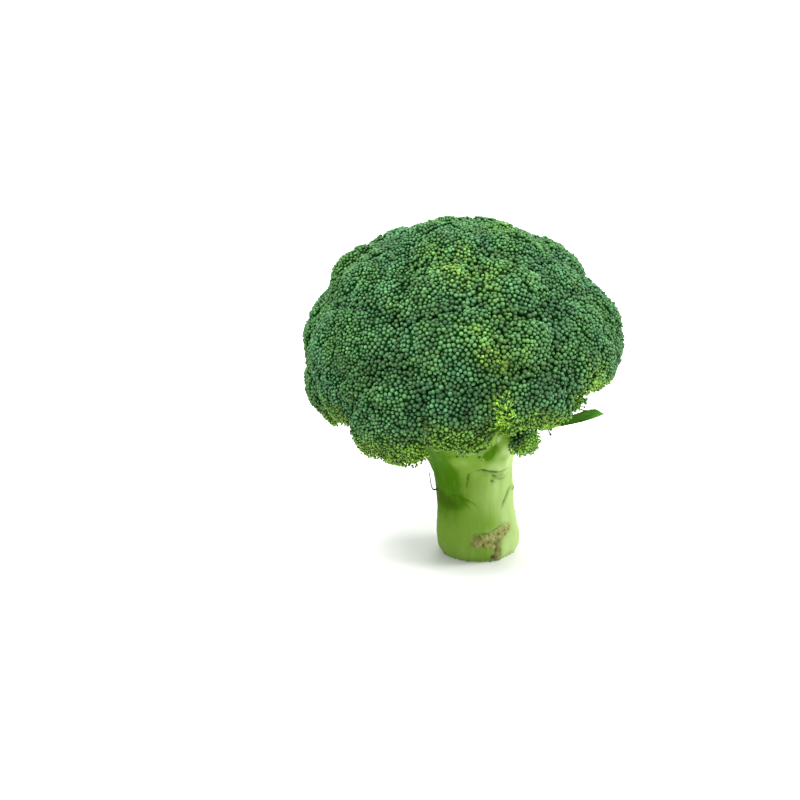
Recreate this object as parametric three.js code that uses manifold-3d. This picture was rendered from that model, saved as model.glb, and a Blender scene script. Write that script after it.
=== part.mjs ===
// A head of broccoli, standing on the flat cut of its stalk.
//
// Millimetres, +Z up. The origin is the middle of the cut face, and the front of the head is -Y.
// One thick stalk forks into a branch for every floret. Each branch flares out under a floret,
// a domed cushion of flower buds, and the florets together make the leaning dome of the crown.
// One more small floret and one narrow leaf grow low on the right, under the crown's edge.

import * as THREE from "three";
import { mergeVertices } from "three/addons/utils/BufferGeometryUtils.js";
import Module from "manifold-3d";

const wasm = await Module();
wasm.setup();

// ---------------------------------------------------------------- driving dimensions

const touchGap = 0.35; // left between pieces that grow on one another

const crownCentre = new THREE.Vector3(-7.9, 0, 102.7);
const crownHalfSize = new THREE.Vector3(79.8, 76, 66.9);
const crownTilt = 6.5; // degrees, the crown's right end down
const fork = new THREE.Vector3(-3.5, 0, 47); // where the branches spread from

const budPitch = 5.75; // between bud clusters, several times the size of one bud
const budRise = 2.3;
const budJitter = 0.45;
const swellRise = 0.9; // the uneven growth of the dome, over several clusters
const swellLength = 2.7;

const floretBulge = 2.6; // how far a floret's dome drops towards its edge
const floretSide = 6; // how far its side goes down into the furrow
const floretRoundness = 2.8; // power of the superellipse from dome to side
const floretDepth = 15; // through the middle
const floretLip = 1.6; // how far the underside hangs below the edge
const furrowHalf = 0.35; // half of the gap between two florets at their edges
const cellRoundness = 44; // power of the rounding at the corners of a floret's outline
const widestCell = 2.4; // most that a floret's outline may reach, in its half widths

const branchSides = 10;
const branchRootDrop = 19; // how far below the fork a branch starts
const branchRise = 12; // how far above the fork it bends outwards
const branchBend = 0.18; // share of the way to the crown's surface at which it bends
const branchRadii = [9, 8.2, 7.2, 6.4]; // along a branch, from its root to its neck
const branchStations = [0, 0.32, 0.56, 0.76];
const flareStation = 0.9;
const flareShare = 0.5; // of the floret's underside, reached at that station
const flareFlute = 0.8; // hollows between the ribs of the flare
const flareReach = 0.8; // share of a floret's half width that its branch carries

const stalkSides = 32;
const stalkLean = -0.075; // sideways per millimetre of height
const stalkProfile = [
  // height, radius
  [0, 18.4],
  [1.6, 20.2],
  [5, 20.9],
  [9, 21],
  [13, 20.6],
  [17, 20.1],
  [21, 19.7],
  [26, 19.4],
  [31, 19.4],
  [35, 19.6],
  [39, 19.8],
  [43, 20.2],
  [47, 20.4],
  [52, 20.2],
  [57, 19.2],
  [63, 17],
  [71, 13],
  [81, 7],
];

// Places on the crown are angles seen from the fork: azimuth counter-clockwise from the right
// side, from above (the front is 270), and the angle off the vertical. half is a floret's half
// width in degrees, lift raises it in millimetres, and rim is the angle off the vertical where
// the crown ends below it. trim is a place that the floret's outline passes square to the way
// from its middle, and so loses a corner. One floret has a bend and radii of its branch's own.
const florets = [
  { azimuth: 215, off: 9, half: 11, lift: 3.4 },
  { azimuth: 345, off: 9, half: 9, lift: 2.8 },
  { azimuth: 252, off: 23, half: 9, lift: 0 },
  { azimuth: 204, off: 29, half: 12, lift: 1 },
  { azimuth: 143, off: 24, half: 11, lift: -0.6 },
  { azimuth: 80, off: 23, half: 11, lift: 2 },
  { azimuth: 23, off: 25, half: 10, lift: 1.4 },
  { azimuth: 299, off: 22, half: 9.5, lift: 0.5 },
  { azimuth: 340, off: 26, half: 9, lift: -0.5 },
  { azimuth: 265, off: 39, half: 11.5, lift: 2 },
  { azimuth: 294, off: 38, half: 9, lift: -0.5 },
  { azimuth: 328, off: 42, half: 14, lift: 0.5, rim: 53.5 },
  { azimuth: 213, off: 46, half: 15, lift: 1, rim: 65 },
  { azimuth: 236, off: 59, half: 13, lift: 0.5, rim: 73, trim: { azimuth: 247, off: 71 } },
  { azimuth: 265, off: 56, half: 11, lift: 0, rim: 65, trim: { azimuth: 277.5, off: 61.5 } },
  {
    azimuth: 298, off: 51, half: 10.5, lift: -0.5, rim: 58.5,
    bend: new THREE.Vector3(-1, -12, 77), // round the small floret below it
    branchRadii: [9, 7.6, 6, 5.2],
  },
  { azimuth: 2, off: 42, half: 13, lift: 0.8, rim: 52.5 },
  { azimuth: 37, off: 48, half: 13, lift: -0.5 },
  { azimuth: 72, off: 47, half: 14, lift: 1 },
  { azimuth: 108, off: 48, half: 13, lift: -0.5 },
  { azimuth: 143, off: 47, half: 14, lift: 0.5 },
  { azimuth: 178, off: 48, half: 13, lift: -1.8 },
  { azimuth: 31, off: 59, half: 11, lift: -0.5, rim: 64 },
  { azimuth: 56, off: 66, half: 12, lift: 0.5, rim: 73 },
  { azimuth: 90, off: 67, half: 12, lift: -0.5, rim: 75 },
  { azimuth: 125, off: 67, half: 12, lift: 0, rim: 74 },
  { azimuth: 160, off: 66, half: 12, lift: -0.5, rim: 73 },
  { azimuth: 190, off: 63, half: 11, lift: 0, rim: 67 },
  { azimuth: 176, off: 31, half: 9, lift: 1.2 },
];

// The small floret in the fork of the front right branch.
const sideFloret = {
  middle: new THREE.Vector3(19.8, -29.4, 72.2), // of its underside
  facing: new THREE.Vector3(0.5, -0.84, -0.2),
  root: new THREE.Vector3(6, -8, 50), // of its branch, inside the stalk
  bend: new THREE.Vector3(13, -19, 62),
  radius: 9.6,
  reach: 24, // from the point its buds spread from
  depth: 8,
  bulge: 1.2,
  side: 3.4,
  branchRadii: [8, 6.8, 4.6, 3.4],
};

const leaf = {
  // a narrow blade under the right front of the crown: its midrib from root to tip
  midrib: [
    new THREE.Vector3(14, -8, 64),
    new THREE.Vector3(30, -22.2, 73.8),
    new THREE.Vector3(43, -33, 79.5),
    new THREE.Vector3(58, -40, 88.5),
  ],
  halfWidth: 5,
  stemHalfWidth: 1.4,
  widest: 0.72, // share of the way to its blunt tip at which it has its full width
  thickness: 1.1,
  cup: 1.4, // how far its two edges rise above the midrib
  roll: 14, // degrees, how far its face turns to the front
  steps: 14,
};

// Marks of the leaves cut off the stalk: azimuth, height and half sizes around and along the
// stalk, the hollow in the middle and the lip around it.
const scars = [
  { azimuth: 314, height: 45, halfAround: 9, halfAlong: 3.4, hollow: 0.9, lip: 0.9 },
  { azimuth: 231, height: 34, halfAround: 7, halfAlong: 4, hollow: 1, lip: 0.6 },
  { azimuth: 292, height: 15, halfAround: 11, halfAlong: 5.2, hollow: 1.3, lip: 0.5 },
  { azimuth: 350, height: 33, halfAround: 4.5, halfAlong: 3.5, hollow: -1.3, lip: 0 },
  { azimuth: 100, height: 30, halfAround: 10, halfAlong: 4, hollow: 0.9, lip: 0.8 },
  { azimuth: 165, height: 18, halfAround: 9, halfAlong: 4, hollow: 0.9, lip: 0.6 },
];

// ---------------------------------------------------------------- materials

const budGreen = new THREE.MeshStandardMaterial({ color: "#2f6b3a", roughness: 0.72, metalness: 0 });
const stalkGreen = new THREE.MeshStandardMaterial({ color: "#a3c266", roughness: 0.5, metalness: 0 });
const leafGreen = new THREE.MeshStandardMaterial({ color: "#2f7a1f", roughness: 0.5, metalness: 0 });

// ---------------------------------------------------------------- closed skins

// A skin collects points and triangles. Rings run counter-clockwise seen from the outer end of
// what they belong to, so a wall from a lower ring to an upper one faces outwards.
class Skin {
  constructor() {
    this.points = [];
    this.triangles = [];
  }

  add(point) {
    this.points.push(point.clone());
    return this.points.length - 1;
  }

  ring(points) {
    return points.map((point) => this.add(point));
  }

  // The wall between two rings that start at the same angle and may differ in count.
  wall(lower, upper) {
    let i = 0;
    let j = 0;
    while (i < lower.length || j < upper.length) {
      const a = lower[i % lower.length];
      const b = upper[j % upper.length];
      if ((i + 1) / lower.length <= (j + 1) / upper.length) {
        i += 1;
        this.triangles.push(a, lower[i % lower.length], b);
      } else {
        j += 1;
        this.triangles.push(a, upper[j % upper.length], b);
      }
    }
  }

  // The end over a ring, from a middle point, facing up or down.
  end(ring, middle, up) {
    ring.forEach((a, i) => {
      const b = ring[(i + 1) % ring.length];
      this.triangles.push(middle, up ? a : b, up ? b : a);
    });
  }

  geometry() {
    const geometry = new THREE.BufferGeometry();
    const flat = this.points.flatMap((point) => point.toArray());
    geometry.setAttribute("position", new THREE.Float32BufferAttribute(flat, 3));
    geometry.setIndex(this.triangles);
    return geometry;
  }
}

function toSolid(geometry) {
  const merged = mergeVertices(geometry);
  return new wasm.Manifold(
    new wasm.Mesh({
      numProp: 3,
      vertProperties: Float32Array.from(merged.attributes.position.array),
      triVerts: Uint32Array.from(merged.index.array),
    }),
  );
}

function toGeometry(solid) {
  const mesh = solid.getMesh();
  const geometry = new THREE.BufferGeometry();
  geometry.setAttribute("position", new THREE.BufferAttribute(mesh.vertProperties, 3));
  geometry.setIndex(new THREE.BufferAttribute(mesh.triVerts, 1));
  return geometry;
}

// The largest body of a solid, without loose scraps and sealed hollows.
function largestBody(solid) {
  return solid.decompose().sort((a, b) => b.volume() - a.volume())[0];
}

// ---------------------------------------------------------------- the crown's shape

const radians = THREE.MathUtils.degToRad;
const up = new THREE.Vector3(0, 0, 1);
const crownAxes = [0, 1, 2].map((i) =>
  new THREE.Vector3().setComponent(i, 1).applyAxisAngle(new THREE.Vector3(0, 1, 0), radians(crownTilt)),
);

function mixed(a, shareA, b, shareB, c, shareC) {
  return new THREE.Vector3()
    .addScaledVector(a, shareA)
    .addScaledVector(b, shareB)
    .addScaledVector(c, shareC);
}

function crownDirection(azimuth, off) {
  const [turn, tilt] = [radians(azimuth), radians(off)];
  return new THREE.Vector3(Math.sin(tilt) * Math.cos(turn), Math.sin(tilt) * Math.sin(turn), Math.cos(tilt));
}

// How far the crown's ellipsoid is from the fork in a direction.
function crownReach(direction) {
  const toFork = fork.clone().sub(crownCentre);
  let a = 0;
  let b = 0;
  let c = -1;
  crownAxes.forEach((axis, i) => {
    const size = crownHalfSize.getComponent(i);
    const [d, o] = [axis.dot(direction) / size, axis.dot(toFork) / size];
    a += d * d;
    b += d * o;
    c += o * o;
  });
  return (-b + Math.sqrt(b * b - a * c)) / a;
}

// ---------------------------------------------------------------- florets

// Two directions square to a floret's axis. The first points down its side of the crown.
function sideways(axis, down) {
  const first = down.clone().addScaledVector(axis, -down.dot(axis)).normalize();
  return [first, new THREE.Vector3().crossVectors(axis, first)];
}

// The angles at which the other florets and the crown's rim cut off a floret's cell.
function cellCuts(floret) {
  const cuts = [];
  for (const other of florets) {
    if (other === floret) continue;
    const apart = floret.axis.angleTo(other.axis);
    const sizes = Math.cos(radians(other.half)) / Math.cos(radians(floret.half));
    const split = Math.atan2(sizes - Math.cos(apart), Math.sin(apart));
    const turn = Math.atan2(other.axis.dot(floret.sides[1]), other.axis.dot(floret.sides[0]));
    cuts.push({ split, turn });
  }
  if (floret.rim) cuts.push({ split: radians(floret.rim - floret.off), turn: 0 });
  if (floret.trim) {
    const corner = crownDirection(floret.trim.azimuth, floret.trim.off);
    const turn = Math.atan2(corner.dot(floret.sides[1]), corner.dot(floret.sides[0]));
    cuts.push({ split: floret.axis.angleTo(corner), turn });
  }
  return cuts.filter((cut) => cut.split < 1);
}

// Half width of a floret, in radians from its axis, at a turn around it.
function cellEdge(floret, turn) {
  let sum = (widestCell * radians(floret.half)) ** -cellRoundness;
  for (const cut of floret.cuts) {
    const facing = Math.cos(turn - cut.turn);
    if (facing > 0.05) sum += Math.atan(Math.tan(cut.split) / facing) ** -cellRoundness;
  }
  return sum ** (-1 / cellRoundness) - furrowHalf / crownReach(floret.axis);
}

for (const floret of florets) {
  floret.origin = fork;
  floret.axis = crownDirection(floret.azimuth, floret.off);
  floret.sides = sideways(floret.axis, crownDirection(floret.azimuth, floret.off + 10));
  floret.depth = floretDepth;
  floret.bulge = floretBulge;
  floret.side = floretSide;
  floret.branchRadii ??= branchRadii;
  floret.reachTo = (direction) => crownReach(direction) + floret.lift;
}
for (const floret of florets) {
  floret.cuts = cellCuts(floret);
  floret.edge = (turn) => cellEdge(floret, turn);
  floret.root = new THREE.Vector3(0, 0, fork.z - branchRootDrop);
  floret.bend ??= mixed(fork, 1, up, branchRise, floret.axis, branchBend * crownReach(floret.axis));
}

sideFloret.axis = sideFloret.facing.clone().normalize();
sideFloret.sides = sideways(sideFloret.axis, new THREE.Vector3(0, 0, -1));
sideFloret.origin = sideFloret.middle
  .clone()
  .addScaledVector(sideFloret.axis, sideFloret.depth - sideFloret.reach);
sideFloret.edge = () => Math.atan(sideFloret.radius / (sideFloret.reach - sideFloret.side));
sideFloret.reachTo = () => sideFloret.reach;

// From the top of a floret's dome to its edge: sideways distance and height over the crown.
class DomeCurve extends THREE.Curve {
  constructor(floret, halfWidth) {
    super();
    this.floret = floret;
    this.halfWidth = halfWidth;
  }

  getPoint(t, target = new THREE.Vector2()) {
    const quarter = (t * Math.PI) / 2;
    const across = Math.sin(quarter) ** (2 / floretRoundness);
    const up = Math.cos(quarter) ** (2 / floretRoundness);
    const drop = this.floret.bulge * across * across + this.floret.side * (1 - up);
    return target.set(across * this.halfWidth, -drop);
  }
}

// A point of a floret: turn around its axis, share of the way out to its edge, and height.
function floretPoint(floret, turn, share, height) {
  const angle = share * floret.edge(turn);
  const [first, second] = floret.sides;
  const flat = Math.sin(angle);
  const direction = mixed(
    floret.axis, Math.cos(angle), first, flat * Math.cos(turn), second, flat * Math.sin(turn),
  );
  return floret.origin.clone().addScaledVector(direction, floret.reachTo(direction) + height);
}

// Slow, uneven swelling of the crown's surface, from -1 to 1.
function swell(point) {
  const [x, y, z] = point.toArray().map((value) => value / swellLength);
  return (Math.sin(x + 0.6 * y) + Math.sin(0.8 * y + 0.9 * z + 1.3) + Math.sin(z - 0.7 * x + 4)) / 3;
}

// A repeatable random number from -1 to 1.
function makeRandom(seed) {
  let state = seed;
  return () => {
    state = (Math.imul(state, 1664525) + 1013904223) >>> 0;
    return state / 2 ** 31 - 1;
  };
}

// The ring of points around a floret's underside, where its branch takes over.
function undersideRing(floret, gap) {
  const drop = floret.bulge + floret.side + floretLip * (floret.side / floretSide) + gap;
  return Array.from({ length: branchSides }, (_, i) =>
    floretPoint(floret, (2 * Math.PI * i) / branchSides, flareReach, -drop),
  );
}

// The bud clusters sit on a triangular net of rings, where every third point is a cluster's top.
const netSteps = [[1, 0], [0, 1], [-1, 1], [-1, 0], [0, -1], [1, -1]];

function isBudTop(ring, sextant, place) {
  const [out, along] = [netSteps[sextant], netSteps[(sextant + 2) % 6]];
  const q = ring * out[0] + place * along[0];
  const r = ring * out[1] + place * along[1];
  return (((q - r) % 3) + 3) % 3 === 0;
}

function floretHead(floret, seed) {
  const skin = new Skin();
  const random = makeRandom(seed);
  const turns = Array.from({ length: 12 }, (_, i) => (i * Math.PI) / 6);
  const meanEdge = turns.reduce((sum, turn) => sum + floret.edge(turn), 0) / turns.length;
  const dome = new DomeCurve(floret, meanEdge * floret.reachTo(floret.axis));
  const rings = Math.round((dome.getLength() * Math.sqrt(3)) / budPitch);

  const netPoint = (ring, sextant, place) => {
    const turn = (2 * Math.PI * (sextant * ring + place)) / (6 * Math.max(ring, 1));
    const flat = dome.getPointAt(ring / rings);
    const along = dome.getTangentAt(ring / rings);
    if (ring === rings) return floretPoint(floret, turn, 1, flat.y);
    let rise = swellRise * swell(floretPoint(floret, turn, 0.9, 0));
    rise += isBudTop(ring, sextant, place) ? budRise + budJitter * random() : 0;
    const share = (flat.x - rise * along.y) / dome.halfWidth;
    return floretPoint(floret, turn, Math.min(share, 1), flat.y + rise * along.x);
  };

  let inner = [skin.add(netPoint(0, 0, 0))];
  for (let ring = 1; ring <= rings; ring += 1) {
    const outer = [];
    for (let sextant = 0; sextant < 6; sextant += 1) {
      for (let place = 0; place < ring; place += 1) outer.push(skin.add(netPoint(ring, sextant, place)));
    }
    for (let sextant = 0; sextant < 6; sextant += 1) {
      for (let place = 0; place < ring; place += 1) {
        const near = inner[(sextant * (ring - 1) + place) % inner.length];
        const next = inner[(sextant * (ring - 1) + place + 1) % inner.length];
        const a = outer[sextant * ring + place];
        const b = outer[(sextant * ring + place + 1) % outer.length];
        skin.triangles.push(near, a, b);
        if (place < ring - 1) skin.triangles.push(near, b, next);
      }
    }
    inner = outer;
  }

  const under = skin.ring(undersideRing(floret, 0));
  skin.wall(under, inner);
  skin.end(under, skin.add(floretPoint(floret, 0, 0, -floret.depth)), false);
  return skin.geometry();
}

// ---------------------------------------------------------------- branches and stalk

function branch(floret, extra = 0) {
  const skin = new Skin();
  const top = floretPoint(floret, 0, 0, -floret.depth - touchGap);
  const path = new THREE.QuadraticBezierCurve3(floret.root, floret.bend, top);
  const underside = undersideRing(floret, touchGap);
  let below = null;

  const addRing = (points) => {
    const ring = skin.ring(points);
    if (below) skin.wall(below, ring);
    else skin.end(ring, skin.add(floret.root), false);
    below = ring;
  };

  branchStations.forEach((station, i) => {
    const [middle, along] = [path.getPoint(station), path.getTangent(station)];
    const [first, second] = sideways(along, floret.sides[0]);
    const radius = floret.branchRadii[i] + extra;
    addRing(underside.map((_, k) => {
      const turn = (2 * Math.PI * k) / branchSides;
      return mixed(middle, 1, first, radius * Math.cos(turn), second, radius * Math.sin(turn));
    }));
  });
  const flare = path.getPoint(flareStation);
  addRing(underside.map((point, k) => {
    const share = flareShare * (k % 2 ? flareFlute : 1);
    return mixed(flare, 1, point, share, top, -share);
  }));
  addRing(underside);
  skin.end(below, skin.add(top), true);
  return toSolid(skin.geometry());
}

function scarRelief(azimuth, height, radius) {
  let relief = 0;
  for (const scar of scars) {
    const turn = ((azimuth - scar.azimuth + 540) % 360) - 180;
    const out = Math.hypot((radians(turn) * radius) / scar.halfAround, (height - scar.height) / scar.halfAlong);
    relief += scar.lip * Math.exp(-(((out - 1.1) / 0.3) ** 2)) - scar.hollow * Math.max(0, 1 - out * out);
  }
  return relief;
}

function trunk() {
  const skin = new Skin();
  const rings = stalkProfile.map(([height, radius]) => {
    const points = [];
    for (let i = 0; i < stalkSides; i += 1) {
      const azimuth = (360 * i) / stalkSides;
      const ribs = 0.45 * Math.cos(radians(5 * azimuth + 40)) + 0.35 * Math.cos(radians(2 * azimuth - 70));
      const reach = radius + ribs + (height > 1 ? scarRelief(azimuth, height, radius) : 0);
      const turn = radians(azimuth);
      points.push(new THREE.Vector3(stalkLean * height + reach * Math.cos(turn), reach * Math.sin(turn), height));
    }
    return skin.ring(points);
  });
  rings.slice(1).forEach((ring, i) => skin.wall(rings[i], ring));
  const [topHeight] = stalkProfile.at(-1);
  skin.end(rings[0], skin.add(new THREE.Vector3(0, 0, 0)), false);
  skin.end(rings.at(-1), skin.add(new THREE.Vector3(stalkLean * topHeight, 0, topHeight)), true);
  return toSolid(skin.geometry());
}

function stalk() {
  let solid = trunk();
  for (const floret of [...florets, sideFloret]) solid = solid.add(branch(floret));
  return solid;
}

// ---------------------------------------------------------------- the small leaf

// A thin arched blade, with its edges raised, and the same triangles on both faces.
function leafBlade() {
  const skin = new Skin();
  const midrib = new THREE.CatmullRomCurve3(leaf.midrib);
  const rows = [];
  for (let step = 0; step <= leaf.steps; step += 1) {
    const share = step / leaf.steps;
    const [middle, along] = [midrib.getPointAt(share), midrib.getTangentAt(share)];
    const across = up.clone().cross(along).normalize().applyAxisAngle(along, radians(leaf.roll));
    const rising = new THREE.Vector3().crossVectors(along, across);
    const opening = THREE.MathUtils.smoothstep(share, 0.15, leaf.widest);
    const blunt = Math.sqrt(1 - 0.9 * Math.max(0, (share - 0.86) / 0.14) ** 2);
    const half = blunt * THREE.MathUtils.lerp(leaf.stemHalfWidth, leaf.halfWidth, opening);
    const lift = leaf.cup * (half / leaf.halfWidth) ** 2;
    const place = (side, rise) => mixed(middle, 1, across, side * half, rising, rise);
    const skinHalf = leaf.thickness / 2;
    rows.push(skin.ring([
      place(-1, lift - skinHalf), place(0, -skinHalf), place(1, lift - skinHalf),
      place(1, lift + skinHalf), place(0, skinHalf), place(-1, lift + skinHalf),
    ]));
  }
  rows.slice(1).forEach((row, i) => skin.wall(rows[i], row));
  const closing = [[0, 1, 5], [1, 4, 5], [1, 2, 4], [2, 3, 4]];
  for (const [a, b, c] of closing) {
    skin.triangles.push(rows[0][a], rows[0][c], rows[0][b]);
    skin.triangles.push(rows.at(-1)[a], rows.at(-1)[b], rows.at(-1)[c]);
  }
  return toSolid(skin.geometry());
}

// ---------------------------------------------------------------- the whole head

const head = new THREE.Group();

function addPiece(name, geometry, material) {
  const piece = new THREE.Mesh(geometry, material);
  piece.name = name;
  head.add(piece);
}

addPiece("stalk", toGeometry(largestBody(stalk())), stalkGreen);
florets.forEach((floret, i) => {
  const number = String(i + 1).padStart(2, "0");
  addPiece(`floret_${number}`, floretHead(floret, i + 1), budGreen);
});
addPiece("floret_side", floretHead(sideFloret, florets.length + 1), budGreen);

// The leaf starts where it grows out of a branch.
const leafCut = florets.reduce((solid, floret) => solid.subtract(branch(floret, touchGap)), leafBlade());
addPiece("leaf", toGeometry(largestBody(leafCut)), leafGreen);

export default head;
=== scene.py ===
"""A head of broccoli, standing on the flat cut of its stalk.

Every floret of the frame is dressed with its flower buds, each a small closed mesh, over a core
painted dark as the shade between the buds. Short pale stems carry the buds at the crown's rim.
The stalk is the frame's stalk made round and smooth, with its creases, leaf scars and cut face.
Lengths are metres, in the frame's axes: +Z is up, the front of the head is -Y and the origin is
the middle of the cut face.
"""

import math
from collections import namedtuple

import bmesh
import bpy
import numpy as np
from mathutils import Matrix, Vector, noise
from mathutils.bvhtree import BVHTree
from mathutils.kdtree import KDTree


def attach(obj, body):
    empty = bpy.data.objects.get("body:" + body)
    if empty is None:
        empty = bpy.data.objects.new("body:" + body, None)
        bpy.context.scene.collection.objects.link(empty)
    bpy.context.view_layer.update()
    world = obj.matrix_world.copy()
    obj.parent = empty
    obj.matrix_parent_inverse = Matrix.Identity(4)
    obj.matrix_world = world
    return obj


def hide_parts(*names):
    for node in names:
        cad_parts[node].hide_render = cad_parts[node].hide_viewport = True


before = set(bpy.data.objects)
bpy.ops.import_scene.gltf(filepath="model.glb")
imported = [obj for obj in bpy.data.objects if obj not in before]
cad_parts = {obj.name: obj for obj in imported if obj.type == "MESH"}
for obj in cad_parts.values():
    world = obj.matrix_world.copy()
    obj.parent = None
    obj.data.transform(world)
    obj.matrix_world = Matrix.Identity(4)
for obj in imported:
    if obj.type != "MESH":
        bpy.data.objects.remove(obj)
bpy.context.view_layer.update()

MM = 0.001

# ---------------------------------------------------------------- driving dimensions

FORK = np.array([-3.5, 0, 47]) * MM  # where the branches of the stalk spread from
SIDE_FACING = np.array([0.5, -0.84, -0.2])  # the way the small side floret looks
SIDE_HEART = np.array([-0.35, -0.9, 0.3])  # and the way its middle lies, painted in shade
CROWN_CENTRE = np.array([-7.9, 0, 102.7]) * MM
CROWN_HALF = np.array([79.8, 76, 66.9]) * MM
CROWN_TILT = math.radians(6.5)  # the crown's right end down

CLUSTER_RISE = 1.5 * MM  # from a floret's smoothed skin to the tops of the frame's clusters
BUD_SPACING = 1.59 * MM
BUD_RADIUS = 0.92 * MM
FRONT_GROWTH = 0.33  # how much larger the buds are low on the front
BUD_FOOT = -0.9  # height of a bud's foot and tip, in bud radii
BUD_TIP = 1.12
BUD_PROFILE = [(0.62, -0.55), (1.0, 0.1), (0.78, 0.72)]  # radius and height of its rings
SMALL_BUD_PROFILE = [(0.92, -0.3), (0.9, 0.5)]
SMALL_BUD = 0.87 * MM  # buds under this radius have fewer rings

LOBE_SPACING = 12.5 * MM  # a floret is made of lobes this far apart
LOBE_RISE = 0.9 * MM
LOBE_GROOVE = 1.3 * MM
GROOVE_WIDTH = 1.2 * MM
FURROW_DEPTH = (2.1 * MM, 0.9 * MM)  # of the furrows between florets, and how much it varies
GAP_DEPTH = 5 * MM  # and how much deeper they are near the rim
CLUSTER_SPACING = 5.4 * MM  # a lobe is made of clusters this far apart
CLUSTER_DOME = 0.6 * MM
CLUSTER_FAN = 0.35  # how far the outer buds of a cluster lean out
CORE_DEPTH = 0.95 * MM  # of the core under the bud centres, painted dark as the shade between the buds
HELD_WITHIN = 2.2 * MM  # of a floret, for a bud that closes a furrow near the rim
BRIDGE_TRIES = 5  # places tried for a bud, for each ray that ends in a furrow

RIM_OFF = (44, 54)  # degrees off the vertical, from the fork, where the rim starts and is full
RIM_CLEAR = (1.5 * MM, 5 * MM)  # from other florets, where a rim starts to show and shows fully
RIM_HOLLOW = 2.2 * MM  # how much further in the core is at the rim, behind the stems
ARCS_MOST = 60  # stems that curl over the buds at the rim of one floret
RIB_LENGTH = (4 * MM, 12 * MM)  # of a rim's stems, to where they meet the branch and where they end
# Tufts of stems with small buds in gaps between florets, seen from the fork: azimuth, angle off
# the vertical and radius in degrees, reach in mm, how yellow and how many.
TUFTS = [
    (281, 51.5, 2.6, 94, 1.0, 44),
    (281.5, 55, 2.6, 91, 1.0, 44),
    (286, 46, 4.0, 79, 0.8, 20),
    (286, 51, 4.0, 77, 0.8, 44),
    (285, 55, 4.0, 74, 0.8, 44),
    (291, 55, 3.5, 72, 0.8, 24),
    (321.5, 55.5, 3.6, 63.5, 0.9, 60),
    (333, 54.5, 3.4, 73.5, 0.35, 56),
    (330, 52, 3.0, 76, 0.3, 50),
]

# Yellower patches of small buds on the crown, seen from the fork: azimuth from +X and angle off
# the vertical in degrees, radius in degrees and strength.
PATCHES = [
    (259, 20, 5.0, 0.9),
    (263, 14, 3.5, 0.7),
    (280, 20, 3.0, 0.8),
    (279, 24, 3.0, 0.7),
    (235, 16, 3.5, 0.5),
    (157, 10, 4.0, 0.6),
    (357, 8, 3.0, 0.6),
    (232, 31, 3.0, 0.45),
    (272.5, 35, 2.2, 0.8),
    (275.5, 41, 3.2, 1.1),
    (281, 41.5, 3.4, 1.3),
    (285, 30, 3.0, 0.4),
    (291, 40, 2.5, 0.45),
    (281, 52, 4.5, 0.9),
    (247, 66, 4.0, 0.6),
    (253, 63, 3.0, 0.5),
    (233, 75, 6.0, 1.1),
    (222, 74, 4.5, 0.8),
    (215, 69, 3.5, 0.5),
    (209, 62, 4.0, 0.45),
    (324, 52, 5.0, 0.9),
    (40, 30, 4.0, 0.7),
    (95, 38, 4.5, 0.6),
    (130, 55, 4.0, 0.7),
    (170, 35, 4.0, 0.6),
    (10, 50, 4.0, 0.5),
    (75, 60, 4.0, 0.6),
]

# Hollows of the crown, given in the same way: the skin sinks there and the buds' tone darkens as painted
# shade.
SHADES = [
    (267, 54.5, 3.8, 0.55),
    (275, 57.5, 3.3, 0.55),
    (233, 47.5, 2.6, 0.4),
    (239, 46, 2.6, 0.4),
    (219, 51, 2.6, 0.4),
    (299.5, 48, 3.0, 0.5),
    (311, 31, 3.0, 0.5),
    (277, 43.5, 2.4, 0.3),
    (287, 43, 2.4, 0.3),
    (251, 34, 2.2, 0.3),
    (258, 30, 2.2, 0.3),
]
SHADE_DEPTH = 2.4 * MM  # of a hollow of strength 1

# Brown bruises on the stalk: middle and radius in mm, and strength.
BRUISES = [
    ((-20, -9, 33), (8, 12, 6), 1.5),
    ((-16, -15, 31), (8, 9, 5.5), 1.3),
    ((11, -18, 45.6), (8, 8, 3.6), 0.85),
    ((-10, -18, 42), (1.2, 4, 1.2), 0.6),
    ((12, 17, 30), (7, 7, 4), 0.5),
]
STALK_VOXEL = 1.85 * MM
TRUNK_TOP = 62 * MM  # below this the stalk's skin is finer
TRUNK_LEAN = -0.075  # sideways, as a share of the height
TRUNK_RADIUS = 20 * MM

# Creases on the trunk, each a curve through (azimuth, height in mm), with its depth and half
# width in mm. The bark on its left swells a little, along its way from the first place.
CREASES = [
    ([(261, 34), (261, 39.5), (263, 46), (266, 49.2), (272, 50.8)], 0.7, 0.55),
    ([(272, 50.8), (282, 51.8), (291, 50.4), (309, 48.6), (336, 47.6)], 1.2, 0.65),
    ([(297, 46.6), (309, 44.2), (322, 43.6), (335, 46.4)], 0.6, 0.6),
    ([(296, 47.6), (302, 46.8), (309, 45.8)], 0.7, 0.6),
    ([(297, 44.6), (300, 43.7), (303, 42.8)], 0.8, 0.7),
    ([(342, 37.4), (336, 36), (328, 33), (320, 29.5), (315, 26.5)], 0.65, 0.55),
    ([(228, 33.5), (240, 36), (256, 35.2), (268, 33), (277, 29.5)], 0.55, 0.6),
    ([(232, 31), (246, 33.2), (258, 31.6), (266, 28.6)], 0.4, 0.5),
    ([(262, 15.6), (271, 16.3), (288, 16.1), (301, 18), (315, 19.6), (323, 20)], 0.7, 0.5),
    ([(300, 9.5), (297, 5.5), (294, 0), (293.5, -2)], 2.2, 1.0),
    ([(294, 7), (291, 3.5), (290, -1)], 0.8, 0.6),
    ([(60, 50), (85, 44), (110, 43), (135, 47)], 0.9, 0.6),
    ([(75, 27), (90, 25), (108, 25.5), (124, 28)], 0.7, 0.6),
    ([(30, 38), (36, 44), (34, 52)], 0.6, 0.6),
    ([(150, 14), (165, 12.5), (181, 14.5)], 0.7, 0.6),
    ([(185, 52), (192, 46), (205, 44), (216, 47)], 0.8, 0.6),
]
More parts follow.
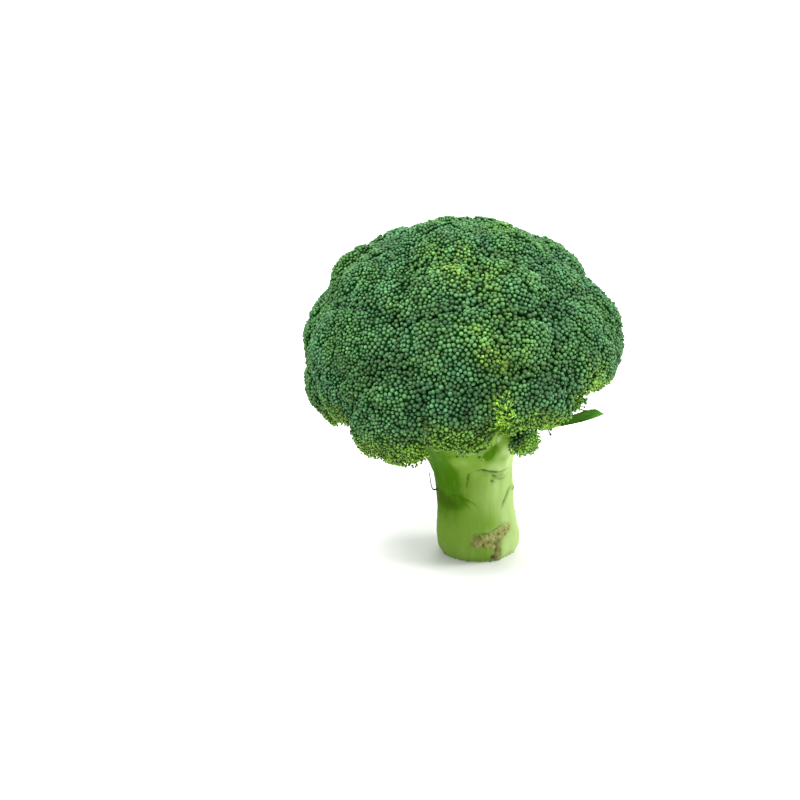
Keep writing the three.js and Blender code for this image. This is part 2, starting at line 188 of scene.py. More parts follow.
# Corky scabs: the two ends of each as (azimuth, height in mm), its half width at both ends in mm,
# how strong it is and how far it stands out in mm.
SCABS = [
    ((268, 12), (291, 12.2), 3.6, 4.1, 1.0, -0.35),
    ((291, 12.2), (321, 16.8), 4.1, 2.9, 1.0, -0.35),
    ((299, 9), (295, 0), 2.3, 2.6, 0.9, -0.35),
    ((343, 35.6), (350, 35), 1.1, 1.3, 0.7, 1.1),
    ((356, 20.8), (358, 20.8), 0.5, 0.5, 0.9, 0.2),
    ((92, 29.5), (110, 30.5), 2.2, 2.0, 0.8, -0.35),
    ((158, 18), (170, 18.5), 2.4, 2.0, 0.75, -0.35),
    ((20, 9), (32, 10), 1.3, 1.0, 0.7, -0.35),
    ((205, 6), (214, 7), 1.2, 1.6, 0.6, -0.35),
]

# Soft spots on the stalk: middle and radius in mm, and how much greener (or paler) they are.
STALK_SPOTS = [
    ((4.6, -23, 59.5), (4.2, 10, 5.5), 0.75),
    ((7.6, -23, 64), (3.8, 10, 5.5), 0.6),
    ((12.5, -24, 63), (3.5, 9, 7), -0.2),
    ((8.5, -27, 70), (3, 9, 4.5), -0.6),
    ((-17, -12, 46), (9, 14, 15), 0.4),
    ((-9, -22, 57), (7, 9, 6), -0.3),
    ((4, -20, 52), (14, 9, 4.5), -0.08),
    ((3, -20, 16), (13, 9, 5), -0.15),
    ((-10, -18, 33), (8, 9, 6), 0.25),
    ((13.5, -20, 57), (6, 9, 7), 0.14),
]

LEAF_MIDRIB = [(14, -8, 64), (30, -22.2, 74.9), (43, -33, 81.2), (58.9, -40, 88.6)]  # mm
LEAF_STEM = 1.3  # mm, half its width at the root
LEAF_HALF_WIDTH = 4.1  # mm
LEAF_CUP = 0.9  # mm, how much the blade's sides rise
LEAF_ROLL = 21  # degrees, how far the blade turns its face to the front

# ---------------------------------------------------------------- numbers and meshes

COINCIDENT = 0.002 * MM  # points this near to each other are one


def unit(rows):
    return rows / np.maximum(np.linalg.norm(rows, axis=-1, keepdims=True), 1e-12)


def direction(azimuth, off):
    """The way that lies at an azimuth from +X and an angle off the vertical, in degrees."""
    turn, tilt = math.radians(azimuth), math.radians(off)
    across = math.sin(tilt)
    return np.array([across * math.cos(turn), across * math.sin(turn), math.cos(tilt)])


def rows_of(made):
    """Points and triangles of a bmesh, which is then let go."""
    bmesh.ops.triangulate(made, faces=made.faces)
    made.verts.index_update()
    points = np.array([v.co[:] for v in made.verts])
    triangles = np.array([[v.index for v in f.verts] for f in made.faces])
    made.free()
    return points, triangles


def skin_of(name):
    """Points and triangles of a frame node, with the points that coincide joined."""
    made = bmesh.new()
    made.from_mesh(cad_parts[name].data)
    bmesh.ops.remove_doubles(made, verts=made.verts, dist=COINCIDENT)
    return rows_of(made)


def edges_of(triangles):
    pairs = np.concatenate([triangles[:, [0, 1]], triangles[:, [1, 2]], triangles[:, [2, 0]]])
    return np.unique(np.sort(pairs, axis=1), axis=0)


def smoothed(points, triangles, factor, times=1):
    """Moves every point towards the middle of its neighbours."""
    a, b = edges_of(triangles).T
    count = np.bincount(np.concatenate([a, b]), minlength=len(points))[:, None]
    for _ in range(times):
        total = np.zeros_like(points)
        np.add.at(total, a, points[b])
        np.add.at(total, b, points[a])
        points = points + factor * (total / count - points)
    return points


def halved(points, triangles):
    """Splits every triangle into four."""
    edges = edges_of(triangles)
    middle = {tuple(e): len(points) + i for i, e in enumerate(edges.tolist())}
    points = np.concatenate([points, points[edges].mean(axis=1)])
    made = []
    for a, b, c in triangles.tolist():
        ab = middle[min(a, b), max(a, b)]
        bc = middle[min(b, c), max(b, c)]
        ca = middle[min(c, a), max(c, a)]
        made += [[a, ab, ca], [ab, b, bc], [ca, bc, c], [ab, bc, ca]]
    return points, np.array(made)


def corner_normals(points, triangles):
    """A normal for every point, from the faces around it."""
    a, b, c = (points[triangles[:, i]] for i in range(3))
    face = np.cross(b - a, c - a)
    total = np.zeros_like(points)
    for i in range(3):
        np.add.at(total, triangles[:, i], face)
    return unit(total)


def tree_of(points, triangles):
    return BVHTree.FromPolygons(points.tolist(), triangles.tolist())


class Batch:
    """Collects closed little meshes that become one piece."""

    def __init__(self):
        self.parts = []
        self.count = 0

    def add(self, points, triangles, marks, places):
        """marks holds four numbers a point, places a map position for each triangle's corners."""
        self.parts.append((points, triangles + self.count, marks, places))
        self.count += len(points)

    def piece(self, name, material):
        points, triangles, marks, places = (np.concatenate(rows) for rows in zip(*self.parts))
        return make_piece(name, points, triangles, material, marks, places)


def linked(name, data):
    """A new object of the scene."""
    made = bpy.data.objects.new(name, data)
    bpy.context.scene.collection.objects.link(made)
    return made


def make_piece(name, points, triangles, material, marks, places=None):
    """A smooth object, with the numbers that its material reads and its map for baking."""
    mesh = bpy.data.meshes.new(name)
    mesh.from_pydata(points.tolist(), [], triangles.tolist(), shade_flat=False)
    layer = mesh.attributes.new("marks", "FLOAT_COLOR", "POINT")
    layer.data.foreach_set("color", marks.astype(np.float32).ravel())
    if places is not None:
        layer = mesh.uv_layers.new(name="OFBake")
        layer.data.foreach_set("uv", places.astype(np.float32).ravel())
    mesh.validate()
    made = linked(name, mesh)
    made.data.materials.append(material)
    return made


# ---------------------------------------------------------------- materials


class Nodes:
    """Short words for building a material's node tree."""

    def __init__(self, name):
        self.material = bpy.data.materials.new(name)
        self.material.use_nodes = True
        self.tree = self.material.node_tree
        self.shader = self.tree.nodes["Principled BSDF"]

    def new(self, kind, **values):
        node = self.tree.nodes.new(kind)
        for key, value in values.items():
            setattr(node, key, value)
        return node

    def feed(self, value, socket):
        """Links a socket or sets a value. A colour is three numbers."""
        if isinstance(value, bpy.types.NodeSocket):
            self.tree.links.new(value, socket)
        elif isinstance(value, tuple):
            socket.default_value = (*value, 1)
        else:
            socket.default_value = value

    def feed_named(self, node, **values):
        for key, value in values.items():
            self.feed(value, node.inputs[key.replace("_", " ")])

    def math(self, operation, a, b):
        node = self.new("ShaderNodeMath", operation=operation)
        self.feed(a, node.inputs[0])
        self.feed(b, node.inputs[1])
        return node.outputs[0]

    def mix(self, share, a, b):
        node = self.new("ShaderNodeMix", data_type="RGBA")
        self.feed(share, node.inputs[0])
        self.feed(a, node.inputs[6])
        self.feed(b, node.inputs[7])
        return node.outputs[2]

    def ramp(self, value, low, high, to_low=0.0, to_high=1.0):
        node = self.new("ShaderNodeMapRange", interpolation_type="SMOOTHSTEP")
        self.feed_named(node, Value=value, From_Min=low, From_Max=high, To_Min=to_low, To_Max=to_high)
        return node.outputs["Result"]

    def place(self, upward=1.0):
        """A place on the object, with its height stretched."""
        mapping = self.new("ShaderNodeMapping")
        self.feed(self.new("ShaderNodeTexCoord").outputs["Object"], mapping.inputs["Vector"])
        mapping.inputs["Scale"].default_value = (1.0, 1.0, upward)
        return mapping.outputs["Vector"]

    def noise(self, where, scale, detail=2.0, roughness=0.5):
        node = self.new("ShaderNodeTexNoise")
        self.feed_named(node, Vector=where, Scale=scale, Detail=detail, Roughness=roughness)
        return node.outputs["Fac"]

    def cells(self, where, scale):
        node = self.new("ShaderNodeTexVoronoi")
        self.feed_named(node, Vector=where, Scale=scale)
        return node.outputs["Distance"]

    def marks(self):
        """The four numbers that a mesh carries at each point."""
        node = self.new("ShaderNodeAttribute", attribute_name="marks")
        parts = self.new("ShaderNodeSeparateColor")
        self.feed_named(parts, Color=node.outputs["Color"])
        return [*parts.outputs, node.outputs["Alpha"]]

    def bump(self, height, distance, strength):
        node = self.new("ShaderNodeBump")
        self.feed_named(node, Height=height, Distance=distance, Strength=strength)
        self.feed_named(self.shader, Normal=node.outputs["Normal"])

    def surface(self, colour, roughness, specular):
        self.feed_named(self.shader, Base_Color=colour, Roughness=roughness, Specular_IOR_Level=specular)


# Colours, as linear red, green and blue. A pair is mixed by noise.
BUD_BODY = ((0.050, 0.148, 0.032), (0.036, 0.128, 0.050))
# Painted highlight on the buds' tips.
BUD_TOP_HIGHLIGHT = ((0.126, 0.268, 0.098), (0.100, 0.240, 0.110))
# Painted shade at the buds' feet and over their core.
BUD_FOOT_SHADE = (0.003, 0.072, 0.001)
# Yellow buds: painted shade at the foot, their own yellow body, painted highlight at the tip.
RIPE_FOOT = (0.035, 0.115, 0.004)
RIPE_BODY = (0.088, 0.225, 0.010)
RIPE_TOP = (0.225, 0.400, 0.046)
BLUSH = (0.095, 0.130, 0.030)
STEM_TOP = (0.265, 0.440, 0.078)
STEM_FOOT = (0.175, 0.355, 0.036)


def bud_material():
    """Marks: tone, how yellow, the share of the height from foot to tip, and the kind: up to 0.4
    for a bud, by its blush, 0.6 for a core and 1 for a stem."""
    made = Nodes("buds")
    tone, ripe, rise, kind = made.marks()
    where = made.place()
    blotch = made.noise(where, 170.0)

    body = made.mix(made.ramp(made.noise(where, 38.0, 3.0), 0.38, 0.62), *BUD_BODY)
    # painted shade at the foot of each bud
    colour = made.mix(made.ramp(rise, 0.28, 0.7), BUD_FOOT_SHADE, body)
    # painted highlight for the tip of each bud
    top = made.mix(made.ramp(blotch, 0.3, 0.7), *BUD_TOP_HIGHLIGHT)
    colour = made.mix(made.ramp(rise, 0.66, 1.02, 0.0, 0.85), colour, top)

    # yellow buds, with painted shade at the foot and painted highlight at the tip
    yellow = made.mix(made.ramp(rise, 0.4, 1.0), RIPE_BODY, RIPE_TOP)
    yellow = made.mix(made.ramp(rise, 0.2, 0.6), RIPE_FOOT, yellow)
    colour = made.mix(ripe, colour, yellow)
    is_bud = made.ramp(kind, 0.45, 0.55, 1.0, 0.0)
    blush = made.math("MULTIPLY", made.ramp(kind, 0.1, 0.4, 0.0, 0.55), is_bud)
    colour = made.mix(blush, colour, BLUSH)
    stem = made.mix(made.ramp(rise, 0.0, 1.0), STEM_TOP, STEM_FOOT)
    colour = made.mix(made.ramp(kind, 0.75, 0.95), colour, stem)
    # Tone sets the brightness: its own variation from bud to bud, with painted shade in the crown's
    # hollows, the bridged furrows, the edges of clusters, the side floret's heart and the core.
    lit = made.new("ShaderNodeHueSaturation")
    brightness = made.math("ADD", made.math("MULTIPLY", tone, 0.95), 0.47)
    made.feed_named(lit, Value=brightness, Color=colour)
    made.surface(lit.outputs["Color"], made.ramp(blotch, 0.3, 0.7, 0.48, 0.66), 0.1)
    made.bump(made.noise(where, 1600.0), 0.12 * MM, 0.6)
    return made.material


# The green mark runs from the pale to the deep skin. The pale right is partly the stalk's blanched side
# and partly painted light; the deep left is partly its own green and partly painted shadow.
SKIN_PALE = (0.320, 0.430, 0.165)
SKIN_MID = (0.136, 0.246, 0.028)
SKIN_DEEP = (0.042, 0.124, 0.001)
SKIN_STREAK = (0.300, 0.410, 0.130)
# Painted shade in and beside the creases, which the bruises share.
SKIN_CREASE_SHADE_AND_BRUISE = (0.038, 0.072, 0.003)
# Painted shade for the stalk that the florets hide.
SKIN_SHADE_UNDER_FLORETS = (0.004, 0.050, 0.001)
SCAB = ((0.290, 0.285, 0.112), (0.128, 0.136, 0.030))
SCAB_PIT = (0.040, 0.044, 0.010)
PITH = ((0.560, 0.620, 0.380), (0.440, 0.520, 0.260))


def stalk_material():
    """Marks: cork, crease shade (painted shade in and beside the creases, and the bruises), deep
    green (its pale right partly painted light, its deep left partly painted shadow, above 1 where
    florets cover the stalk, painted shade), and 1 on the cut face."""
    made = Nodes("stalk")
    cork, crease, green, cut = made.marks()
    where = made.place()
    broad = made.noise(where, 26.0, 3.0)
    streak = made.noise(made.place(0.12), 420.0, 4.0, 0.6)
    fine = made.noise(where, 900.0, 3.0)
    uneven = made.noise(where, 330.0, 4.0, 0.65)

    # the green mark, with its painted light on the right and painted shadow on the left
    wavy = made.math("ADD", green, made.math("MULTIPLY", made.math("SUBTRACT", broad, 0.5), 0.35))
    skin = made.mix(made.ramp(wavy, 0.0, 0.5), SKIN_PALE, SKIN_MID)
    skin = made.mix(made.ramp(wavy, 0.5, 1.0), skin, SKIN_DEEP)
    skin = made.mix(made.ramp(streak, 0.4, 0.75, 0.0, 0.09), skin, SKIN_STREAK)
    # painted shade in the creases, and the brown bruises
    skin = made.mix(made.ramp(crease, 0.0, 1.0, 0.0, 0.8), skin, SKIN_CREASE_SHADE_AND_BRUISE)
    # painted shade where the florets cover the stalk
    skin = made.mix(made.ramp(green, 1.1, 1.6), skin, SKIN_SHADE_UNDER_FLORETS)

    pits = made.cells(where, 400.0)
    scab = made.mix(made.ramp(uneven, 0.38, 0.66), *SCAB)
    scab = made.mix(made.ramp(pits, 0.1, 0.22, 1.0, 0.0), scab, SCAB_PIT)
    frayed = made.math("MULTIPLY", made.noise(where, 480.0, 4.0, 0.6), 2.2)
    ragged = made.math("MULTIPLY", cork, frayed)
    skin = made.mix(made.ramp(ragged, 0.3, 0.85, 0.0, 0.92), skin, scab)
    skin = made.mix(cut, skin, made.mix(made.ramp(uneven, 0.3, 0.7), *PITH))
    made.surface(skin, made.ramp(fine, 0.3, 0.7, 0.42, 0.58), 0.01)
    height = made.math("ADD", made.math("MULTIPLY", streak, 0.35), made.math("MULTIPLY", fine, 0.35))
    rough = made.math("SUBTRACT", made.ramp(pits, 0.1, 0.35), 1.0)
    rough = made.math("MULTIPLY", rough, made.ramp(ragged, 0.4, 0.7))
    made.bump(made.math("ADD", height, made.math("MULTIPLY", rough, 2.2)), 0.3 * MM, 0.6)
    return made.material


BLADE = ((0.110, 0.365, 0.030), (0.175, 0.460, 0.068))
# The root's colour: the stem's paler green, carried far up the blade as painted light where the blade lies
# in shade.
BLADE_ROOT_PALE_AND_LIT = (0.280, 0.480, 0.070)
BLADE_VEIN = (0.120, 0.280, 0.040)
# Painted shade along the blade's edge.
BLADE_EDGE_SHADE = (0.045, 0.130, 0.026)


def leaf_material():
    """Marks: how near a vein, the share of the way from root to tip, and how near the edge."""
    made = Nodes("leaf")
    vein, share, edge, _ = made.marks()
    where = made.place()
    blade = made.mix(made.noise(where, 260.0, 3.0), *BLADE)
    # paler towards the root: the stem's own colour, and painted light
    blade = made.mix(made.ramp(share, 0.3, 0.95, 0.85, 0.0), blade, BLADE_ROOT_PALE_AND_LIT)
    blade = made.mix(made.ramp(vein, 0.3, 1.0, 0.0, 0.7), blade, BLADE_VEIN)
    # painted shade along the edge
    blade = made.mix(made.ramp(edge, 0.72, 0.95, 0.0, 0.75), blade, BLADE_EDGE_SHADE)
    made.surface(blade, made.ramp(made.noise(where, 700.0), 0.3, 0.7, 0.42, 0.58), 0.08)
    made.bump(made.noise(where, 1200.0, 3.0), 0.2 * MM, 0.5)
    return made.material


# ---------------------------------------------------------------- the florets' skins


SIDE_SEED = 60
FRAME_SMOOTHING = 2 / 3  # share of the way to its neighbours' middle that a point moves
SKIN_SMOOTHING = 0.5  # and the same once the skin is finer, for the stalk too
BACK_LIMIT = -0.35  # how far a skin may face away from its floret's axis and still bear buds
EVEN_REACH = 1.25  # of a bud's spacing, within which it is pushed away, and how hard
EVEN_PUSH = 0.55
NOISE_STEP = (3.1, 1.7, 2.3)  # between the noises of two seeds
# Smooth noises on the skins: the size of their lumps and their seed.
WAVES = {
    "growth": (20 * MM, 3),
    "groove": (14 * MM, 0),
    "specks": (4 * MM, 7),
    "tone": (12 * MM, 12),
    "blush": (9 * MM, 23),
    "rim ripeness": (7 * MM, 31),
    "bud height": (3.5 * MM, 61),
    "crease": (5 * MM, 17),
    "scab edge": (3.2 * MM, 5),
    "scab fringe": (1.4 * MM, 6),
    "scab": (1.2 * MM, 9),
    "green": (22 * MM, 8),
    "green streak": (4 * MM, 14),
    "fibre": (2.6 * MM, 1),
    "fine fibre": (1.1 * MM, 2),
    "lump": (11 * MM, 3),
    "small lump": (5 * MM, 4),
    "bruise": (2.4 * MM, 51),
    "furrow": (0.16, 41),  # on rays 1 long
}


class Floret:
    """The smoothed skin of one floret of the frame, which its buds sit on."""

    def __init__(self, name):
        self.name = name
        self.side = name == "floret_side"
        self.seed = SIDE_SEED if self.side else int(name[-2:])
        points, triangles = skin_of(name)
        points = smoothed(points, triangles, FRAME_SMOOTHING)
        points, triangles = halved(points, triangles)
        points = smoothed(points, triangles, SKIN_SMOOTHING, 3)
        self.points, self.triangles = points, triangles
        self.normals = corner_normals(points, triangles)
        self.tree = tree_of(points, triangles)
        self.middle = (points.min(axis=0) + points.max(axis=0)) / 2
        self.axis = unit(SIDE_FACING) if self.side else unit(self.middle - FORK)
        first = unit(np.cross([0.0, 1.0, 0.0], self.axis))
        self.sides = np.array([first, unit(np.cross(self.axis, first))])


def nearest_normals(tree, points):
    """For each point, the nearest place on a skin and the skin's normal there."""
    found = [tree.find_nearest(p) for p in points.tolist()]
    return np.array([f[0][:] for f in found]), np.array([f[1][:] for f in found])


def scattered(floret, count, random):
    """Random points on the bud side of a floret's skin."""
    a, b, c = (floret.points[floret.triangles[:, i]] for i in range(3))
    face = np.cross(b - a, c - a)
    area = np.linalg.norm(face, axis=1) / 2
    outward = unit(face) @ floret.axis
    area = np.where(outward > BACK_LIMIT, area, 0)
    picked = random.choice(len(area), count, p=area / area.sum())
    u, v = random.random((2, count))
    flip = u + v > 1
    u, v = np.where(flip, 1 - u, u), np.where(flip, 1 - v, v)
    return a[picked] + u[:, None] * (b - a)[picked] + v[:, None] * (c - a)[picked]


def thinned(points, spacing):
    """Picks the points that keep their spacing to the ones before them."""
    size = float(np.max(spacing))
    reach = [(i, j, k) for i in (-1, 0, 1) for j in (-1, 0, 1) for k in (-1, 0, 1)]
    cells, kept = {}, []
    for index, place in enumerate(points.tolist()):
        x, y, z = place
        a, b, c = (math.floor(v / size) for v in place)
        limit = float(spacing[index]) ** 2
        around = (cells.get((a + i, b + j, c + k), ()) for i, j, k in reach)
        if all((p - x) ** 2 + (q - y) ** 2 + (r - z) ** 2 >= limit for cell in around for p, q, r in cell):
            cells.setdefault((a, b, c), []).append(place)
            kept.append(index)
    return np.array(kept)


def evened(points, spacing, tree, times):
    """Pushes points apart along the skin until they are evenly spread."""
    for _ in range(times):
        apart = points[:, None] - points[None]
        far = np.linalg.norm(apart, axis=2)
        np.fill_diagonal(far, 1.0)
        push = np.clip(1 - far / (EVEN_REACH * spacing[:, None]), 0, 1)
        moved = (apart / far[..., None] * push[..., None]).sum(axis=1) * spacing[:, None] * EVEN_PUSH
        points, _ = nearest_normals(tree, points + moved)
    return points


def angle_to(ways, way):
    """The angles in degrees between unit ways and one of them."""
    return np.degrees(np.arccos(np.clip(ways @ way, -1, 1)))


def patchy(points, patches):
    """How strongly some patches of the crown show at these places."""
    rays = unit(points - FORK)
    total = np.zeros(len(points))
    for azimuth, off, radius, strength in patches:
        angle = angle_to(rays, direction(azimuth, off))
        total = np.maximum(total, strength * np.exp(-((angle / radius) ** 2)))
    return total


def wave(points, name, seed=0):
    """One of the smooth noises, from -1 to 1."""
    size, first = WAVES[name]
    shift = Vector([(first + seed) * step for step in NOISE_STEP])
    return np.array([noise.noise(Vector(p) / size + shift) for p in points.tolist()])


def ramp(values, low, high):
    """0 below low, 1 above high and smooth between."""
    share = np.clip((values - low) / (high - low), 0, 1)
    return share * share * (3 - 2 * share)


def off_vertical(points):
    """The angle in degrees between the vertical and the way from the fork to each point."""
    return angle_to(unit(points - FORK), [0, 0, 1])


def egg_reach(rays):
    """How far the crown's egg is from the fork along each ray."""
    c, s = math.cos(CROWN_TILT), math.sin(CROWN_TILT)
    turn = np.array([[c, 0, s], [0, 1, 0], [-s, 0, c]])
    way = rays @ turn / CROWN_HALF
    start = (FORK - CROWN_CENTRE) @ turn / CROWN_HALF
    a = (way * way).sum(axis=1)
    b = way @ start
    return (np.sqrt(b * b - a * (start @ start - 1)) - b) / a


CROWN_RAYS = 17000
RAYS_LOWEST = 0.25  # height of the lowest ray's end, for rays 1 long
RAY_START = 160 * MM  # from the fork, outside the crown, and the length that each looks inward
RAY_LENGTH = 110 * MM
UNMET = -50 * MM  # a ray that meets no floret counts as this far below the egg
MET = -40 * MM
AROUND = 0.11  # rays whose ends are nearer than this are averaged
WELL_COVERED = 0.72  # share of the rays around that meet a floret, in the crown's inside
LESS_COVERED = (0.5, 53)  # or this share, this near to the vertical in degrees
RIM_COVERED = (0.6, 78)  # and where furrows near the rim are bridged too
BRIDGE_SPREAD = (0.8 * MM, 0.6)  # of a bud from its ray, and how much less along the ray


class Crown:
    """How far the florets reach from the fork, along evenly spread rays, furrows bridged."""

    def __init__(self, florets):
        starts = np.cumsum([0] + [len(f.points) for f in florets])
        points = np.concatenate([f.points for f in florets])
        triangles = np.concatenate([f.triangles + start for f, start in zip(florets, starts)])
        tree = tree_of(points, triangles)
        index = np.arange(CROWN_RAYS) + 0.5
        up = 1 - (1 - RAYS_LOWEST) * index / CROWN_RAYS
        turn = index * math.pi * (3 - math.sqrt(5))
        side = np.sqrt(1 - up**2)
        self.rays = np.stack([side * np.cos(turn), side * np.sin(turn), up], axis=1)
        egg = egg_reach(self.rays)
        below = np.full(CROWN_RAYS, UNMET)  # of the skin, against the egg
        self.lookup = KDTree(CROWN_RAYS)
        for i, ray in enumerate(self.rays):
            self.lookup.insert(ray, i)
            hit = tree.ray_cast(Vector(FORK + RAY_START * ray), -Vector(ray), RAY_LENGTH)
            if hit[0] is not None:
                below[i] = RAY_START - hit[3] - egg[i]
        self.lookup.balance()
        around = [[n[1] for n in self.lookup.find_range(ray, AROUND)] for ray in self.rays]
        top = np.array([np.percentile(below[n], 75) for n in around])
        top = np.array([top[n].mean() for n in around])
        covered = np.array([np.mean(below[n] > MET) for n in around])
        covered = np.array([covered[n].mean() for n in around])
        depth, change = FURROW_DEPTH
        self.floor = egg + top - depth - change * wave(self.rays, "furrow")
        off = np.degrees(np.arccos(self.rays[:, 2]))
        inner, outer = ((covered > share) & (off < limit) for share, limit in (LESS_COVERED, RIM_COVERED))
        inside = (covered > WELL_COVERED) | inner
        self.floor -= np.where(inside, 0, GAP_DEPTH)
        self.open = (below + egg < self.floor) & (inside | outer)

    def sunk(self, points):
        """How far below the bridged furrows' floor each point is."""
        nearest = [self.lookup.find(ray)[1] for ray in unit(points - FORK)]
        return self.floor[nearest] - np.linalg.norm(points - FORK, axis=1)

    def bridges(self, random):
        """Places, and ways out, on the floor of the bridged furrows."""
        rays, floor = (np.repeat(a[self.open], BRIDGE_TRIES, axis=0) for a in (self.rays, self.floor))
        spread, less = BRIDGE_SPREAD
        away = random.standard_normal(rays.shape) * spread
        away -= rays * (less * (away * rays).sum(axis=1))[:, None]
        return FORK + rays * floor[:, None] + away, rays


LOBE_TRIES = 2500  # places tried for the middles of lobes and clusters
GROOVE_CHANGE = (0.75, 0.6)  # mean share of a groove's depth, and how much it varies
LOBE_HALF = 0.6 * LOBE_SPACING


class Lobes:
    """The lobes of one floret, which swell between grooves, and the clusters on them."""

    def __init__(self, floret, random):
        points = scattered(floret, LOBE_TRIES, random)
        self.centres = points[thinned(points, np.full(len(points), LOBE_SPACING))]
        self.clusters = points[thinned(points, np.full(len(points), CLUSTER_SPACING))]
        self.seed = floret.seed

    def height(self, points):
        """How far the skin rises at these places, or sinks."""
        far = np.sort(np.linalg.norm(points[:, None] - self.centres[None], axis=2), axis=1)
        near = far[:, 0]
        edge = (far[:, 1] - near) / 2 if far.shape[1] > 1 else np.full(len(points), 1.0)
        mean, change = GROOVE_CHANGE
        depth = LOBE_GROOVE * (mean + change * wave(points, "groove", self.seed))
        groove = depth * np.exp(-((edge / GROOVE_WIDTH) ** 2))
        dome = LOBE_RISE * np.clip(1 - (near / LOBE_HALF) ** 2, -0.3, 1)
        return dome - groove - SHADE_DEPTH * patchy(points, SHADES)

    def fan(self, points):
        """From the middle of each point's cluster: the way out, and the share of the way."""
        away = points[:, None] - self.clusters[None]
        nearest = np.argmin(np.linalg.norm(away, axis=2), axis=1)
        away = away[np.arange(len(points)), nearest]
        share = np.linalg.norm(away, axis=1) / (CLUSTER_SPACING / 2)
        return unit(away), np.clip(share, 0, 1.2)


def clearance(points, others, reach):
    """How far the nearest other floret's skin is, up to a reach."""
    gap = np.full(len(points), reach)
    for other in others:
        for i, p in enumerate(points.tolist()):
            near = other.tree.find_nearest(p, gap[i])
            if near[0] is not None:
                gap[i] = near[3]
    return gap


SIDE_RIM = (22, 62)  # degrees from the side floret's heart, where its rim starts and is full
FRONT_RIM = direction(275, 60)  # the way to the front rim, where a smaller turn under counts
FRONT_GROWN = direction(276, 48)  # where the buds are largest


def rim_share(floret, points, normals, gap):
    """0 on the dome and in the furrows, 1 on the open underside of the crown's rim."""
    if floret.side:
        return ramp(angle_to(normals, unit(SIDE_HEART)), *SIDE_RIM)
    front = ramp(unit(points - FORK) @ FRONT_RIM, 0.85, 0.97)
    under = ramp(-normals[:, 2] - 0.22 * (1 - front), -0.05, 0.5)
    under += 0.8 * ramp(-(normals @ floret.axis), -0.35, 0.1)
    return np.clip(under, 0, 1) * ramp(gap, *RIM_CLEAR) * ramp(off_vertical(points), *RIM_OFF)


def growth(points):
    """How large the buds are at these places, against the usual."""
    front = ramp(unit(points - FORK) @ FRONT_GROWN, 0.7, 0.98)
    return 1 + FRONT_GROWTH * front + 0.06 * wave(points, "growth")


# ---------------------------------------------------------------- buds, cores and small stems

MAP_MARGIN = 0.06  # of a tile of the bake map, left bare round what it holds
CORE_MAP = 0.2  # share of the map that the core of a floret takes
BUD_MAP = (0.47, 0.2)  # radius of a bud's lowest and highest ring, in a unit tile


def map_tiles(count, columns, low=0.0, share=1.0):
    """Corner and size of a tile of the bake map for each part, in rows from low upwards."""
    index = np.arange(count)
    upward = low + (index // columns) / columns * share
    return np.stack([(index % columns) / columns, upward, np.full(count, share / columns)], axis=1)


def on_circle(radius, turns):
    """A place of a unit tile, on a circle round its middle."""
    angle = 2 * math.pi * turns
    return 0.5 + radius * math.cos(angle), 0.5 + radius * math.sin(angle)


def bud_template(sides, profile):
    """A closed bud with its foot at the bottom, and a round map of it that fits a unit tile."""
    turns = np.arange(sides) * 2 * math.pi / sides
    circle = np.stack([np.cos(turns), np.sin(turns), np.ones(sides)], axis=1)
    rings = [circle * [radius, radius, height] for radius, height in profile]
    points = np.concatenate([[[0, 0, BUD_FOOT]], *rings, [[0, 0, BUD_TIP]]])
    spread = np.linspace(*BUD_MAP, len(profile))
    triangles, places = [], []

    def spot(ring, side):
        return on_circle(spread[ring], side / sides)

    for i in range(sides):
        a, b = 1 + i, 1 + (i + 1) % sides
        triangles.append([0, b, a])
        places.append([on_circle(0.5, (i + 0.5) / sides), spot(0, i + 1), spot(0, i)])
        for ring in range(len(profile) - 1):
            c, d = a + sides, b + sides
            triangles += [[a, b, d], [a, d, c]]
            places.append([spot(ring, i), spot(ring, i + 1), spot(ring + 1, i + 1)])
            places.append([spot(ring, i), spot(ring + 1, i + 1), spot(ring + 1, i)])
            a, b = c, d
        triangles.append([a, b, len(points) - 1])
        places.append([spot(-1, i), spot(-1, i + 1), (0.5, 0.5)])
    return points, np.array(triangles), np.array(places)


BUD = bud_template(7, BUD_PROFILE)
SMALL = bud_template(6, SMALL_BUD_PROFILE)

KIND_BLUSH = 0.4  # the fourth mark of a bud that is all blush, of a core and of a stem
KIND_CORE = 0.6
KIND_STEM = 1.0
UPRIGHT = 0.9  # a way whose height is above this is nearly the vertical


def frames_along(normals, spins):
    """For each normal, three axes with the last one along it, spun by an angle."""
    helper = np.where(np.abs(normals[:, 2:]) < UPRIGHT, [[0.0, 0.0, 1.0]], [[1.0, 0.0, 0.0]])
    first = unit(np.cross(helper, normals))
    second = np.cross(normals, first)
    c, s = np.cos(spins)[:, None], np.sin(spins)[:, None]
    return np.stack([first * c + second * s, second * c - first * s, normals], axis=1)


# Buds: where each sits, which way it points, and how it looks.
Buds = namedtuple("Buds", "centres tilt sizes stretch tone ripe blush rim")


def add_buds(batch, buds, template, tiles, random):
    """Adds closed buds, each with its tile of the map."""
    points, triangles, places = template
    total, count = len(buds.centres), len(points)
    axes = frames_along(buds.tilt, random.random(total) * 2 * math.pi)
    local = points[None] * buds.sizes[:, None, None] * np.ones(3)
    local[..., 2] *= buds.stretch[:, None]
    placed = buds.centres[:, None] + np.einsum("nki,nij->nkj", local, axes)
    marks = np.zeros((total, count, 4))
    marks[..., 0] = buds.tone[:, None]
    marks[..., 1] = buds.ripe[:, None]
    marks[..., 2] = (points[:, 2] - BUD_FOOT) / (BUD_TIP - BUD_FOOT)
    marks[..., 3] = KIND_BLUSH * buds.blush[:, None]
    faces = triangles[None] + (np.arange(total) * count)[:, None, None]
    inner = places * (1 - 2 * MAP_MARGIN) + MAP_MARGIN
    spots = inner[None] * tiles[:, 2][:, None, None, None] + tiles[:, None, None, :2]
    batch.add(placed.reshape(-1, 3), faces.reshape(-1, 3), marks.reshape(-1, 4), spots.reshape(-1, 2))


STEM_SIDES = 4
CAP_MAP = 0.15  # of a step, how far into the tube's map the middle of an end cap lies


